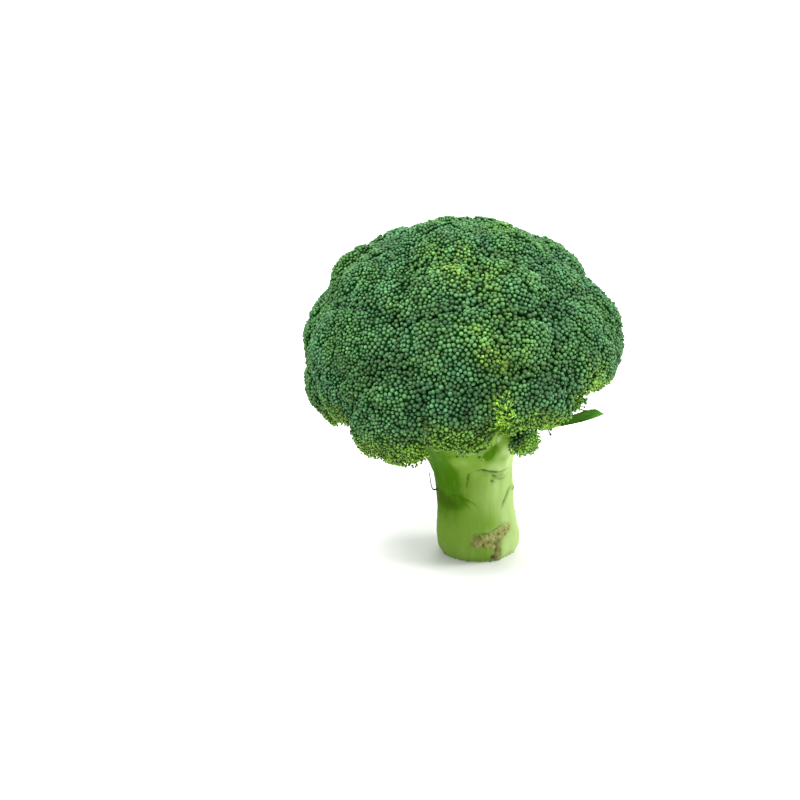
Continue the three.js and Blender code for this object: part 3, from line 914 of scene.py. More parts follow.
def add_stem(batch, path, radii, look, tile, kind=KIND_STEM):
    """A closed tapering tube along a few points. look holds its tone and how yellow it is."""
    path = np.array(path)
    along = unit(np.gradient(path, axis=0))
    helper = np.array([0.0, 0.0, 1.0] if abs(along[0][2]) < UPRIGHT else [1.0, 0.0, 0.0])
    first = unit(np.cross(helper, along))[:, None]
    second = np.cross(along, first[:, 0])[:, None]
    turns = np.arange(STEM_SIDES)[None, :, None] * 2 * math.pi / STEM_SIDES
    ring = np.cos(turns) * first + np.sin(turns) * second
    points = path[:, None] + ring * np.array(radii)[:, None, None]
    steps = len(path)
    points = np.concatenate([points.reshape(-1, 3), path[:1], path[-1:]])
    triangles, places = [], []
    x, y, size = tile

    def spot(step, side):
        inner = 1 - 2 * MAP_MARGIN
        across, up = inner * step / (steps - 1), inner * side / STEM_SIDES
        return x + size * (MAP_MARGIN + across), y + size * (MAP_MARGIN + up)

    for side in range(STEM_SIDES):
        after = (side + 1) % STEM_SIDES
        for step in range(steps - 1):
            a, b = step * STEM_SIDES + side, step * STEM_SIDES + after
            c, d = a + STEM_SIDES, b + STEM_SIDES
            triangles += [[a, b, d], [a, d, c]]
            places += [spot(step, side), spot(step, side + 1), spot(step + 1, side + 1)]
            places += [spot(step, side), spot(step + 1, side + 1), spot(step + 1, side)]
        foot, tip = steps * STEM_SIDES, (steps - 1) * STEM_SIDES
        triangles += [[after, side, foot], [tip + side, tip + after, foot + 1]]
        places += [spot(0, side + 1), spot(0, side), spot(CAP_MAP, side + 0.5)]
        middle = spot(steps - 1 - CAP_MAP, side + 0.5)
        places += [spot(steps - 1, side), spot(steps - 1, side + 1), middle]
    marks = np.zeros((len(points), 4))
    marks[:, :2] = look
    marks[:, 2] = [*np.repeat(np.linspace(0, 1, steps), STEM_SIDES), 0, 1]
    marks[:, 3] = kind
    batch.add(points, np.array(triangles), marks, np.array(places))


# Looks of buds: a middle value, and how much it varies from bud to bud and from place to place.
RIM_RIPENESS = (0.62, 0.25, 0.5)
BUD_TONE = (0.5, 0.2, 0.3)
BUD_BLUSH = (-0.15, 0.25, 0.4)
PATCH_RIPENESS = (0.1, 0.75, 0.4)
PATCH_SPECKS = (0.12, 0.9)  # share of a patch's buds that blush, and how much


def varied(look, points, name, random):
    """One of the looks of the buds at these places, by one of the noises."""
    middle, each, broad = look
    return middle + each * random.standard_normal(len(points)) + broad * wave(points, name)


def looks(points, floret, ripe, random):
    """The tone, ripeness and blush of the buds at these places."""
    patch = patchy(points, PATCHES)
    speck = random.random(len(points))
    middle, each, broad = PATCH_RIPENESS
    ripe = ripe + patch * (middle + each * speck + broad * wave(points, "specks", floret.seed))
    # Tone varies from bud to bud and place to place. The hollows take painted shade off it.
    tone = varied(BUD_TONE, points, "tone", random) - patchy(points, SHADES) + 0.15 * patch
    blush = np.clip(varied(BUD_BLUSH, points, "blush", random), 0, 1)
    share, much = PATCH_SPECKS
    blush = blush * (1 - 0.8 * patch) + patch * np.where(speck < share, much, 0.0)
    return tone, np.clip(ripe, 0, 1), np.clip(blush, 0, 1)


BUD_TRIES = 14000  # places tried for the buds of one floret
CLOSER = 0.84  # spacing of the side floret's buds and of those in furrows, against the usual
PATCH_CLOSER = 0.16  # how much closer the buds stand in a yellow patch, and at the rim
RIM_CLOSER = 0.15
SPACING_VARIES = 0.11
FIRST_PACKING = 0.87  # share of the spacing kept before the buds are evened
BUD_BACK = -0.3  # how far a bud may face away from its floret's axis
SQUEEZED = 0.6 * MM  # where the gap is narrower, only buds that face outward grow
GAP_SEEN = 8 * MM  # florets further apart than this don't change each other
BURIED = 0.8 * MM  # no bud of a floret grows deeper than this in a furrow
BURIED_OFF = 50  # but further off the vertical than this, in degrees, they may


def bud_places(floret, others, crown, random):
    """Places, spacings and normals of the buds on a floret's own skin, and the gap to others."""
    points = scattered(floret, BUD_TRIES, random)
    _, normals = nearest_normals(floret.tree, points)
    rim = rim_share(floret, points, normals, np.full(len(points), RIM_CLEAR[1]))
    patch = patchy(points, PATCHES)
    spacing = BUD_SPACING * growth(points) * (1 - PATCH_CLOSER * patch) * (1 - RIM_CLOSER * rim)
    spacing *= CLOSER if floret.side else 1.0
    spacing *= np.clip(1 + SPACING_VARIES * random.standard_normal(len(points)), 0.75, 1.3)
    kept = thinned(points, spacing * FIRST_PACKING)
    points, spacing = points[kept], spacing[kept]
    points = evened(points, spacing, floret.tree, 2)
    _, normals = nearest_normals(floret.tree, points)
    outward = normals @ floret.axis
    gap = clearance(points, others, GAP_SEEN)
    keep = (outward > BUD_BACK) & ((gap > SQUEEZED) | (outward > 0.1))
    if not floret.side:
        keep &= (crown.sunk(points) < BURIED) | (off_vertical(points) > BURIED_OFF)
    return points[keep], spacing[keep], normals[keep], gap[keep]


RIM_SMALLER = 0.18  # how much smaller the buds are at the rim
RIM_STRONG = 0.6  # share of the rim above which buds stand loose and stems curl over them
SIZE_VARIES = 0.1
SIZE_LIMITS = (0.5 * BUD_RADIUS, 1.5 * BUD_RADIUS)
HEIGHT_WAVE = 0.35 * MM
# Each has its value on a floret's dome, and what is added to it at the rim.
HEIGHT_VARIES = (0.26 * MM, 0.5 * MM)
AXIS_LEAN = (0.3, -0.25)
TILT_VARIES = (0.16, 0.2)
LOOSE_SHARE = 0.06  # of the rim's buds, that stand out by this much
LOOSE_LIFT = 0.9 * MM
SIDE_RIM_TONE_AND_HEART_SHADE = (0.75, -0.65)  # added to the tone of the side floret's rim, and of its heart as painted shade


def at_rim(value, rim):
    return value[0] + value[1] * rim


def floret_buds(floret, others, lobes, random, crown):
    """Every bud that grows on a floret's own skin."""
    points, spacing, normals, gap = bud_places(floret, others, crown, random)
    count = len(points)
    rim = rim_share(floret, points, normals, gap)
    ripe = rim * varied(RIM_RIPENESS, points, "rim ripeness", random)
    tone, ripe, blush = looks(points, floret, ripe, random)
    if floret.side:
        tone += SIDE_RIM_TONE_AND_HEART_SHADE[0] * rim + SIDE_RIM_TONE_AND_HEART_SHADE[1] * (1 - rim)
    sizes = spacing * (BUD_RADIUS / BUD_SPACING) * (1 + SIZE_VARIES * random.standard_normal(count))
    sizes = np.clip(sizes, *SIZE_LIMITS) * (1 - RIM_SMALLER * rim)
    way, share = lobes.fan(points)
    height = CLUSTER_RISE - BUD_TIP * sizes + lobes.height(points) * (1 - 0.5 * rim)
    height += CLUSTER_DOME * (0.5 - share**2) + HEIGHT_WAVE * wave(points, "bud height")
    height += at_rim(HEIGHT_VARIES, rim) * random.standard_normal(count)
    loose = (rim > RIM_STRONG) & (random.random(count) < LOOSE_SHARE)
    height = np.minimum(height, CLUSTER_RISE - 0.6 * sizes + np.where(loose, LOOSE_LIFT, 0))
    centres = points + normals * height[:, None]
    lean, spread = at_rim(AXIS_LEAN, rim)[:, None], at_rim(TILT_VARIES, rim)[:, None]
    tilt = normals + CLUSTER_FAN * way * share[:, None] + lean * floret.axis
    tilt = unit(tilt + spread * random.standard_normal(normals.shape))
    # Painted shade towards the edges of each cluster.
    tone = np.clip(tone - 0.12 * share, 0, 1)
    stretch = np.clip(1.04 + 0.12 * random.standard_normal(count) + 0.2 * rim, 0.75, 1.6)
    return Buds(centres, tilt, sizes, stretch, tone, ripe, blush, rim)


HELD_OFF = 56  # degrees off the vertical, within which every bud of a furrow is held
# Painted shade on the buds that close the furrows.
BRIDGE_SHADE = -0.3


def bridge_buds(crown, florets, rows, random):
    """Adds the buds that close the furrows to the florets they are nearest to."""
    places, ways = crown.bridges(random)
    taken = np.concatenate([b.centres for b in rows])
    every = np.concatenate([taken, places])
    spacing = BUD_SPACING * CLOSER * growth(every)
    spacing[: len(taken)] = 0
    kept = thinned(every, spacing)
    fresh = kept[kept >= len(taken)] - len(taken)
    places, ways = places[fresh], ways[fresh]
    far = np.array([[f.tree.find_nearest(p)[3] for p in places.tolist()] for f in florets])
    held = (far.min(axis=0) < HELD_WITHIN) | (off_vertical(places) < HELD_OFF)
    owners = np.where(held, far.argmin(axis=0), len(florets))
    for i, floret in enumerate(florets):
        own, way = places[owners == i], ways[owners == i]
        if not len(own):
            continue
        count = len(own)
        tone, ripe, blush = looks(own, floret, np.zeros(count), random)
        sizes = BUD_RADIUS * growth(own) * (1 + SIZE_VARIES * random.standard_normal(count))
        tilt = unit(way + 0.25 * random.standard_normal(own.shape))
        stretch = 1 + 0.1 * random.standard_normal(count)
        # painted shade in the furrows
        tone = np.clip(tone + BRIDGE_SHADE, 0, 1)
        more = Buds(own, tilt, sizes, stretch, tone, ripe, blush, np.zeros(count))
        rows[i] = Buds(*map(np.concatenate, zip(rows[i], more)))


STEMS_MOST = 170  # on one floret
STEM_RIM = 0.3  # share of the rim, or yellow, above which a bud may have a stem
STEM_RIPE = 0.6
STEM_DEPTH = 0.7  # depth of a stem's start under its bud's middle, in bud radii
RIB_RIM = 0.5  # share of the rim above which its stem runs on to the branch
NECK_BACK = 6 * MM  # from a floret's middle inward, to the place that its stems lead to
REACH_OF_STALK = 5 * MM  # a rib needs the stalk's skin this near
RIB_OVER = (0.25 * MM, -0.45 * MM)  # height over that skin, where a rib meets it and at its end
RIB_SAG = 0.3 * MM
ARC_STRAYS = 12 * MM  # how much the arcs' ways differ, against their distance from the neck
ARC_HALF = (1.2, 2.2)  # mm, half the length of the shortest and the longest
ARC_OVER = 0.25 * MM
ARC_TONES = (0.15, 0.65)
ARC_YELLOW = 0.6
RIB_RADII = np.array([0.3, 0.36, 0.44, 0.75]) * MM  # of stems, from tip to root
STEM_RADII = np.array([0.34, 0.42, 0.62]) * MM
ARC_RADII = np.array([0.3, 0.26, 0.22, 0.16]) * MM
TUFT_RADII = np.array([0.3, 0.36, 0.6]) * MM


def rib(foot, neck, stalk):
    """A stem's way from a bud's foot at the rim to the branch, and a little along its skin."""
    inward = unit(neck - foot)
    ends = []
    for length, over in zip(RIB_LENGTH, RIB_OVER):
        place, normal, _, far = stalk.find_nearest(Vector(foot + inward * length))
        if far > REACH_OF_STALK:
            return None
        ends.append(np.array(place) + np.array(normal) * over)
    return [foot, 0.5 * (foot + ends[0]) - [0, 0, RIB_SAG], *ends]


def short_stem(foot, neck, tilt, rim):
    """A short bent way from a bud's foot into its floret, longer at the rim."""
    inward = unit(neck - foot) * (3.5 + 3.5 * rim) * MM
    bend = -tilt * (0.7 + 0.6 * rim) * MM
    return [foot, foot + 0.35 * inward + bend, foot + inward + 2 * bend]


def arc(centre, size, out, neck, random):
    """A stem's way that curls over a bud at the rim."""
    way = unit(centre - neck + ARC_STRAYS * random.standard_normal(3))
    way = unit(way - out * (way @ out)) * random.uniform(*ARC_HALF) * MM
    top = centre + out * (size + ARC_OVER)
    stops = ((-1, 1.3), (-0.3, 0), (0.6, 0.3), (1, 1.2))  # shares of the way, and mm down
    return [top + share * way - out * down * MM for share, down in stops]


def dress_floret(floret, buds, others, lobes, random, crown, stalk, material):
    """One piece with a floret's buds, its stems and its core."""
    small = buds.sizes < SMALL_BUD
    wanted = np.flatnonzero((buds.rim > STEM_RIM) | (buds.ripe > STEM_RIPE))
    stems = wanted[:: max(1, math.ceil(len(wanted) / STEMS_MOST))]
    edge = np.flatnonzero(buds.rim > RIM_STRONG)
    arcs = random.permutation(edge)[: min(ARCS_MOST, len(edge) // 4)]

    batch = Batch()
    count = len(small)
    total = count + len(stems) + len(arcs)
    share = 1 - CORE_MAP
    tiles = map_tiles(total, math.ceil(math.sqrt(total / share)), CORE_MAP, share)
    for template, which in ((BUD, ~small), (SMALL, small)):
        if which.any():
            picked = Buds(*(row[which] for row in buds))
            add_buds(batch, picked, template, tiles[:count][which], random)

    neck = floret.middle - floret.axis * NECK_BACK
    for i, tile in zip(stems, tiles[count:]):
        centre, tilt, size, rim = buds.centres[i], buds.tilt[i], buds.sizes[i], buds.rim[i]
        foot = centre - tilt * size * STEM_DEPTH
        path, radii = rib(foot, neck, stalk) if rim > RIB_RIM else None, RIB_RADII
        if not path:
            path, radii = short_stem(foot, neck, tilt, rim), STEM_RADII
        add_stem(batch, path, radii, (buds.tone[i], buds.ripe[i]), tile)
    for i, tile in zip(arcs, tiles[count + len(stems) :]):
        path = arc(buds.centres[i], buds.sizes[i], buds.tilt[i], neck, random)
        add_stem(batch, path, ARC_RADII, (random.uniform(*ARC_TONES), ARC_YELLOW), tile)

    add_core(batch, floret, lobes, others, crown)
    piece = batch.piece(floret.name.replace("floret", "buds"), material)
    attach(piece, "root")
    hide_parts(floret.name)


CORE_CLOSES = (-3 * MM, -1 * MM)  # minus the gap to a neighbour, as the core fills the furrow
CORE_SINKS = (0.8 * MM, 3 * MM)  # depth in a bridged furrow, as the core turns into its floor
CORE_SINKS_OFF = (-60, -54)  # minus the degrees off the vertical
CORE_SINKS_GAP = (-7 * MM, -5.5 * MM)
CORE_COVER = 1.6 * MM  # of buds over that floor
UNDERSIDE = 1.0 * MM  # how far the core's underside is inside the skin
FURROW_FLOOR = 0.15 * MM  # and how far its sides are, near a neighbour
FLOOR_REACH = 0.62  # share of the gap to a neighbour that a bridged furrow's floor crosses


def add_core(batch, floret, lobes, others, crown):
    """Adds the body under the buds, painted dark as the shade between them, hollowed at the rim behind the
    stems.
    """
    skin = floret.points
    gap = clearance(skin, others, GAP_SEEN)
    under = ramp(-(floret.normals @ floret.axis), 0.05, 0.45)
    rim = rim_share(floret, skin, floret.normals, gap)
    ripe = np.maximum(0.6 * patchy(skin, PATCHES), rim)
    closed = ramp(-gap, *CORE_CLOSES)
    deep = ramp(crown.sunk(skin), *CORE_SINKS) * ramp(-off_vertical(skin), *CORE_SINKS_OFF)
    deep *= ramp(-gap, *CORE_SINKS_GAP)
    for azimuth, off, *_ in TUFTS:
        deep *= ramp(-(unit(skin - FORK) @ direction(azimuth, off)), -0.998, -0.992)
    sunk = CLUSTER_RISE - BUD_TIP * BUD_RADIUS * growth(skin) - CORE_DEPTH
    height = lobes.height(skin) + sunk - RIM_HOLLOW * rim
    height = height * (1 - under) - under * UNDERSIDE
    height = height * (1 - closed) - closed * FURROW_FLOOR
    height = height * (1 - deep) + deep * FLOOR_REACH * gap
    points = skin + floret.normals * height[:, None]
    cover = np.maximum(CORE_COVER - crown.sunk(points), 0) * deep
    points -= unit(points - FORK) * cover[:, None]
    marks = np.zeros((len(points), 4))
    # Low tone and the foot's colour: painted shade between the buds, lighter at the rim and on the
    # underside.
    marks[:, 0] = 0.05 + 0.25 * np.maximum(rim, under)
    marks[:, 1] = np.clip(ripe + 0.6 * under * (1 - closed), 0, 0.95)
    marks[:, 2] = 0.05 + 0.3 * np.maximum(rim, under * (1 - closed))
    marks[:, 3] = KIND_CORE
    away = unit(points - floret.middle)
    angle = np.arccos(np.clip(away @ floret.axis, -1, 1)) / math.pi
    flat = unit(away @ floret.sides.T) * angle[:, None] * 0.49 + 0.5
    batch.add(points, floret.triangles, marks, flat[floret.triangles.ravel()] * CORE_MAP)


# Strays: a bud on a thread under the right fringe, a dry fibre on the left of the stalk, and
# short stems on its front. Each has the node that it grows on, its way from its root to its tip in
# mm, its radii at both ends, how yellow it is (None where it is dry) and its bud's radius, or 0.
STRAYS = [
    ("leaf", [(33, -26, 77.5), (33.4, -29.8, 76.2), (34.6, -30.5, 73.8)], (0.38, 0.34), None, 0.75),
    ("stalk", [(-23, -5, 34), (-23.6, -8.5, 36.5), (-25, -10, 45.5)], (0.46, 0.3), None, 0),
    ("stalk", [(7, -27, 67), (7.5, -32, 73), (9.3, -36.5, 78)], (1.9, 0.5), 0.95, 0),
    ("stalk", [(-11, -22, 58), (-12, -25, 60), (-11, -28, 61)], (0.5, 0.28), 0.8, 0.7),
    ("stalk", [(-7, -22, 57), (-8.5, -26, 60), (-8, -29, 62)], (0.5, 0.28), 0.9, 0.75),
    ("stalk", [(-3, -22, 58), (-5, -26, 60.5), (-6, -29, 61.5)], (0.5, 0.28), 0.9, 0.6),
    ("stalk", [(1, -22, 57), (2, -26, 59), (0, -29, 61)], (0.5, 0.28), 0.7, 0.75),
]
STRAY_SUNK = 0.3 * MM  # how deep a stray is rooted
DRY_LOOK = (0.2, 0.0)  # tone and yellow of the thread and the fibre
STRAY_TONE = 0.35


def dress_strays(material, holders, random):
    """One piece with the few stems and buds that stand apart."""
    batch = Batch()
    one = np.ones(1)
    tiles = map_tiles(2 * len(STRAYS), 4)
    for k, (holder, stops, radii, ripe, bud) in enumerate(STRAYS):
        place, normal, _, _ = holders[holder].find_nearest(Vector(stops[0]) * MM)
        root = (np.array(place) - np.array(normal) * STRAY_SUNK) / MM
        path = smooth_route([root, *stops[1:]], 4) * MM
        look, kind = (DRY_LOOK, KIND_BLUSH) if ripe is None else ((STRAY_TONE, ripe), KIND_STEM)
        add_stem(batch, path, np.linspace(*radii, len(path)) * MM, look, tiles[2 * k], kind)
        if bud:
            way = unit(path[-1:] - path[-2:-1])
            row = Buds(path[-1:], way, bud * MM * one, 1.2 * one, 0.2 * one, 0.2 * one, 0 * one, one)
            add_buds(batch, row, SMALL, tiles[2 * k + 1 : 2 * k + 2], random)
    piece = batch.piece("buds_strays", material)
    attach(piece, "root")


TUFT_DEPTH = 4  # mm, how much shorter every second stem is
TUFT_ROOT = 11  # mm under the buds, where the skin that holds a tuft is looked for
TUFT_BUDS = (0.55, 0.85)  # mm, radius of the smallest and largest
TUFT_TONE = 0.7
TUFT_BENDS = (0.4 * MM, 0.8 * MM)  # how much its stems' feet and middles differ


def dress_tufts(material, holders, random):
    """One piece with the tufts in the gaps between the florets."""
    batch = Batch()
    total = 2 * sum(tuft[-1] for tuft in TUFTS)
    tiles = map_tiles(total, math.ceil(math.sqrt(total)))
    done = 0
    for azimuth, off, radius, reach, yellow, count in TUFTS:
        way = direction(azimuth, off)
        rays = unit(way + math.tan(math.radians(radius)) * random.uniform(-1, 1, (count, 3)))
        deeper = np.where(np.arange(count) % 2, 0, TUFT_DEPTH)
        tips = FORK + rays * (reach - deeper + 1.1 * random.standard_normal(count))[:, None] * MM
        inner = Vector(FORK + way * (reach - TUFT_ROOT) * MM)
        root = np.array(min((t.find_nearest(inner) for t in holders), key=lambda found: found[3])[0])
        sizes = random.uniform(*TUFT_BUDS, count) * MM
        tone = np.clip(TUFT_TONE + 0.2 * random.standard_normal(count), 0, 1)
        ripe = np.clip(yellow + 0.25 * random.standard_normal(count), 0, 1)
        tilt = unit(rays + 0.45 * random.standard_normal((count, 3)))
        stretch = random.uniform(1.0, 1.5, count)
        buds = Buds(tips, tilt, sizes, stretch, tone, ripe, np.zeros(count), np.ones(count))
        add_buds(batch, buds, SMALL, tiles[done : done + count], random)
        for tip, look, tile in zip(tips, zip(tone, ripe), tiles[done + count :]):
            foot = root + (tip - root) * 0.25 + TUFT_BENDS[0] * random.standard_normal(3)
            middle = 0.5 * (foot + tip) + TUFT_BENDS[1] * random.standard_normal(3)
            add_stem(batch, [tip, middle, foot], TUFT_RADII, look, tile)
        done += 2 * count
    piece = batch.piece("buds_tufts", material)
    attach(piece, "root")


# ---------------------------------------------------------------- the stalk


def largest_body(points, triangles):
    """The largest body of a mesh, without the crumbs that remeshing leaves."""
    label = np.arange(len(points))
    settled = False
    while not settled:
        before = label.copy()
        lowest = label[triangles].min(axis=1)
        for corner in range(3):
            np.minimum.at(label, triangles[:, corner], lowest)
        label = label[label]
        settled = (label == before).all()
    bodies = label[triangles[:, 0]]
    kept = triangles[bodies == np.bincount(bodies).argmax()]
    used, corners = np.unique(kept, return_inverse=True)
    return points[used], corners.reshape(-1, 3)


def remeshed(name, voxel):
    """Points and triangles of a frame node with an even skin."""
    points, triangles = skin_of(name)
    mesh = bpy.data.meshes.new("scratch")
    mesh.from_pydata(points.tolist(), [], triangles.tolist())
    thing = linked("scratch", mesh)
    step = thing.modifiers.new("even", "REMESH")
    step.mode = "VOXEL"
    step.voxel_size = voxel
    graph = bpy.context.evaluated_depsgraph_get()
    result = bpy.data.meshes.new_from_object(thing.evaluated_get(graph))
    bpy.data.objects.remove(thing)
    made = bmesh.new()
    made.from_mesh(result)
    bpy.data.meshes.remove(result)
    return largest_body(*rows_of(made))


def finer_below(points, triangles, height):
    """Splits the triangles of the trunk into smaller ones."""
    made = bmesh.new()
    corners = [made.verts.new(p) for p in points]
    for triangle in triangles:
        made.faces.new([corners[i] for i in triangle])
    low = {e for f in made.faces if f.calc_center_median().z < height for e in f.edges}
    bmesh.ops.subdivide_edges(made, edges=list(low), cuts=1, use_grid_fill=True)
    return rows_of(made)


def trunk_place(azimuth, height):
    """A place on the trunk's mean cylinder, for an azimuth in degrees and a height in mm."""
    turn = np.radians(azimuth)
    return np.stack([
        TRUNK_LEAN * height * MM + TRUNK_RADIUS * np.cos(turn),
        TRUNK_RADIUS * np.sin(turn),
        np.asarray(height) * MM,
    ], axis=-1)


def smooth_route(stops, steps):
    """A smooth curve through a few places."""
    stops = np.array(stops, dtype=float)
    ends = np.concatenate([2 * stops[:1] - stops[1:2], stops, 2 * stops[-1:] - stops[-2:-1]])
    made = []
    for i in range(len(stops) - 1):
        a, b, c, d = ends[i : i + 4]
        square, cube = 2 * a - 5 * b + 4 * c - d, 3 * b - a - 3 * c + d
        for t in np.linspace(0, 1, steps, endpoint=False):
            made.append(0.5 * (2 * b + (c - a) * t + square * t**2 + cube * t**3))
    return np.array([*made, stops[-1]])


def far_from_route(places, route):
    """Distance from each place to a chain of points, the share of the chain passed there, and
    whether the place lies on the chain's left, seen from outside the trunk."""
    best = np.full(len(places), 1.0)
    passed = np.zeros(len(places))
    above = np.zeros(len(places), dtype=bool)
    outward = unit(places * [1, 1, 0])
    for i in range(len(route) - 1):
        a, b = route[i], route[i + 1]
        along = b - a
        t = np.clip((places - a) @ along / (along @ along), 0, 1)
        away = places - a - t[:, None] * along
        far = np.linalg.norm(away, axis=1)
        closer = far < best
        best[closer] = far[closer]
        passed[closer] = (i + t[closer]) / (len(route) - 1)
        above[closer] = ((np.cross(outward, along) * away).sum(axis=1) > 0)[closer]
    return best, passed, above


def on_cylinder(points):
    """Points of the trunk moved out to its mean cylinder, so that distances run over its skin."""
    x = points[:, 0] - TRUNK_LEAN * points[:, 2]
    turn = np.degrees(np.arctan2(points[:, 1], x))
    return trunk_place(turn, points[:, 2] / MM)


FOLD_WIDTH = 5.5  # half widths of a crease, over which the bark beside it swells
FOLD_RISE = (0.75, -0.1)  # on the crease's left and right, in its depths
LINE_WIDTH = (0.8, 0.5)  # share of a crease's half width, and how much it varies
LINE_DEPTH = 0.9
FOLD_SHADE = (0.07, 0.35)  # how dark the fold is painted, as its shade, on the crease's left and right
SCAB_EDGE = (-1.25, -0.6)  # minus the share of a scab's half width, where it starts and is full
SCAB_FRINGE = 0.6  # heights of the finer and coarser roughness of a scab and of its edge
SCAB_RAGGED = 0.3
SCAB_ROUGH = 0.5


def trunk_details(points):
    """How far the trunk's skin moves out, and its marks: cork and crease, the painted shade in and beside
    the creases.
    """
    places = on_cylinder(points)
    height, cork, crease = np.zeros((3, len(points)))
    for stops, depth, half in CREASES:
        route = trunk_place(*smooth_route(stops, 6).T)
        far, passed, above = far_from_route(places, route)
        taper = np.sin(np.pi * np.clip(passed, 0.03, 0.97)) ** 0.6
        line = half * (LINE_WIDTH[0] + LINE_WIDTH[1] * wave(places, "crease")) * MM
        cut = np.exp(-((far / line) ** 2)) * taper
        fold = np.exp(-((far / (FOLD_WIDTH * half * MM)) ** 2)) * taper
        height += depth * MM * (np.where(above, *FOLD_RISE) * fold - LINE_DEPTH * cut)
        shade = cut + np.where(above, *FOLD_SHADE) * fold
        crease = np.maximum(crease, shade * min(1.0, 0.35 + 0.55 * depth))
    ragged = wave(points, "scab edge") + SCAB_FRINGE * wave(points, "scab fringe")
    for start, end, first, last, strength, rise in SCABS:
        route = trunk_place(*np.array([start, end], float).T)
        far, passed, _ = far_from_route(places, route)
        half = (first + (last - first) * passed) * MM
        inside = ramp(-(far / half + SCAB_RAGGED * ragged), *SCAB_EDGE) * strength
        cork = np.maximum(cork, inside)
        rough = SCAB_ROUGH * wave(points, "scab") + SCAB_RAGGED * ragged
        height += inside * (rough + rise) * MM
    return height, cork, crease


def spot_share(points, middle, radius):
    """1 at the middle of a soft round spot, 0 beyond its radius. Both are in mm."""
    far = np.linalg.norm((points - np.array(middle) * MM) / (np.array(radius) * MM), axis=1)
    return ramp(-far, -1.1, -0.1)


FOOT_FLAT = 0.6 * MM  # points lower than this belong to the cut face
CUT_FACING = -0.75  # how far down the cut face looks, at least
CUT_TOP = 1 * MM
CUT_STILL = 0.2 * MM  # below this the skin stays where it is
JOINT = (40 * MM, 48 * MM, 62 * MM, 74 * MM)  # heights between which the branches run smoothly
TRUNK_FADES = (52 * MM, 60 * MM)  # heights over which the trunk's creases and scabs fade
FIBRE_STRETCH = (1, 1, 0.16)
# Stalk that the florets hide is painted in shade, a green near black.
BRANCH_DEPTH = 26 * MM  # stalk under the crown's middle is hidden, less deep than this
BRANCH_OFF = 52  # and this near to the vertical, in degrees
RAY_LIFT = 0.3 * MM  # off the skin, where the look for a floret starts
COVER_NEAR = 6 * MM  # and so is stalk with a floret this near over it
HIDDEN_FROM = 55 * MM
FIBRE_HEIGHTS = (0.13 * MM, 0.05 * MM)  # of the fibres and the fine ones
LUMP_HEIGHTS = (0.5 * MM, 0.15 * MM)
MOTTLED = (0.8, 0.45)  # strength of a bruise, and how much it varies
GREEN_MIDDLE = 0.5  # how deep the green is, and what the right side (paler: blanched, and painted light) and the left side (deeper green, and painted shadow) add to it
GREEN_RIGHT_PALE_AND_LIT = -0.42
GREEN_LEFT_AND_SHADOW = 0.6
GREEN_VARIES = (0.16, 0.08)
RIGHT_FACING = (0.1, 0.95)  # how far the skin faces the side, where the side starts to tell
LEFT_FACING = (-0.1, 0.6)
DOWN_FACING = (-0.95, -0.2)  # skin that faces down doesn't face a side
GREEN_HALF = 22 * MM  # half the width over which the trunk turns from green to pale
GREEN_PLACED = 0.7  # how much the place tells, and minus the heights over which it comes to
GREEN_BY_PLACE = (-74 * MM, -60 * MM)
GREEN_RISES = (8 * MM, 36 * MM)  # heights over which the left side turns green
GREEN_FOOT = -0.15  # what the foot adds, and minus the heights over which it comes to
PALE_FOOT = (-16 * MM, 0)


def stalk_body():
    """Points and triangles of the smoothed stalk, flat at its foot."""
    points, triangles = remeshed("stalk", STALK_VOXEL)
    flat = points[:, 2] < FOOT_FLAT
    points = smoothed(points, triangles, SKIN_SMOOTHING, 8)
    height = points[:, 2:]
    joint = ramp(height, *JOINT[:2]) * ramp(-height, -JOINT[3], -JOINT[2])
    points = smoothed(points, triangles, SKIN_SMOOTHING * joint, 24)
    points[flat, 2] = 0
    points, triangles = finer_below(points, triangles, TRUNK_TOP)
    low = points[:, 2] < 0.5 * FOOT_FLAT
    points = smoothed(points, triangles, SKIN_SMOOTHING, 2)
    points[low, 2] = 0
    return points, triangles


def shade_under_florets(points, triangles, normals, florets, crown):
    """1 where the florets cover the stalk, which is painted in shade there, 0 where it shows and soft
    between.
    """
    hidden = ((crown.sunk(points) < BRANCH_DEPTH) & (off_vertical(points) < BRANCH_OFF)).astype(float)
    for i in np.flatnonzero((points[:, 2] > HIDDEN_FROM) & (hidden == 0)):
        outward = Vector(normals[i])
        start = Vector(points[i]) + outward * RAY_LIFT
        if any(f.tree.ray_cast(start, outward, COVER_NEAR)[0] is not None for f in florets):
            hidden[i] = 1
    return smoothed(hidden[:, None], triangles, SKIN_SMOOTHING, 10)[:, 0]


def stalk_green(points, normals, fibre_points):
    """Deep green on the left and under the crown, with painted shadow on the left; pale on the right,
    partly painted light, and at the foot.
    """
    up = points[:, 2]
    across = normals @ [1.0, 0.1, 0] * ramp(normals[:, 2], *DOWN_FACING)
    around = (points[:, 0] - TRUNK_LEAN * up) / GREEN_HALF
    across += (around - across) * GREEN_PLACED * ramp(-up, *GREEN_BY_PLACE)
    left = ramp(-across, *LEFT_FACING) * ramp(up, *GREEN_RISES)
    green = GREEN_MIDDLE + GREEN_RIGHT_PALE_AND_LIT * ramp(across, *RIGHT_FACING) + GREEN_LEFT_AND_SHADOW * left
    broad, narrow = GREEN_VARIES
    green += broad * wave(points, "green") + narrow * wave(fibre_points, "green streak")
    green += GREEN_FOOT * ramp(-up, *PALE_FOOT)
    for middle, radius, change in STALK_SPOTS:
        green += change * spot_share(points, middle, radius)
    return np.clip(green, 0, 1)


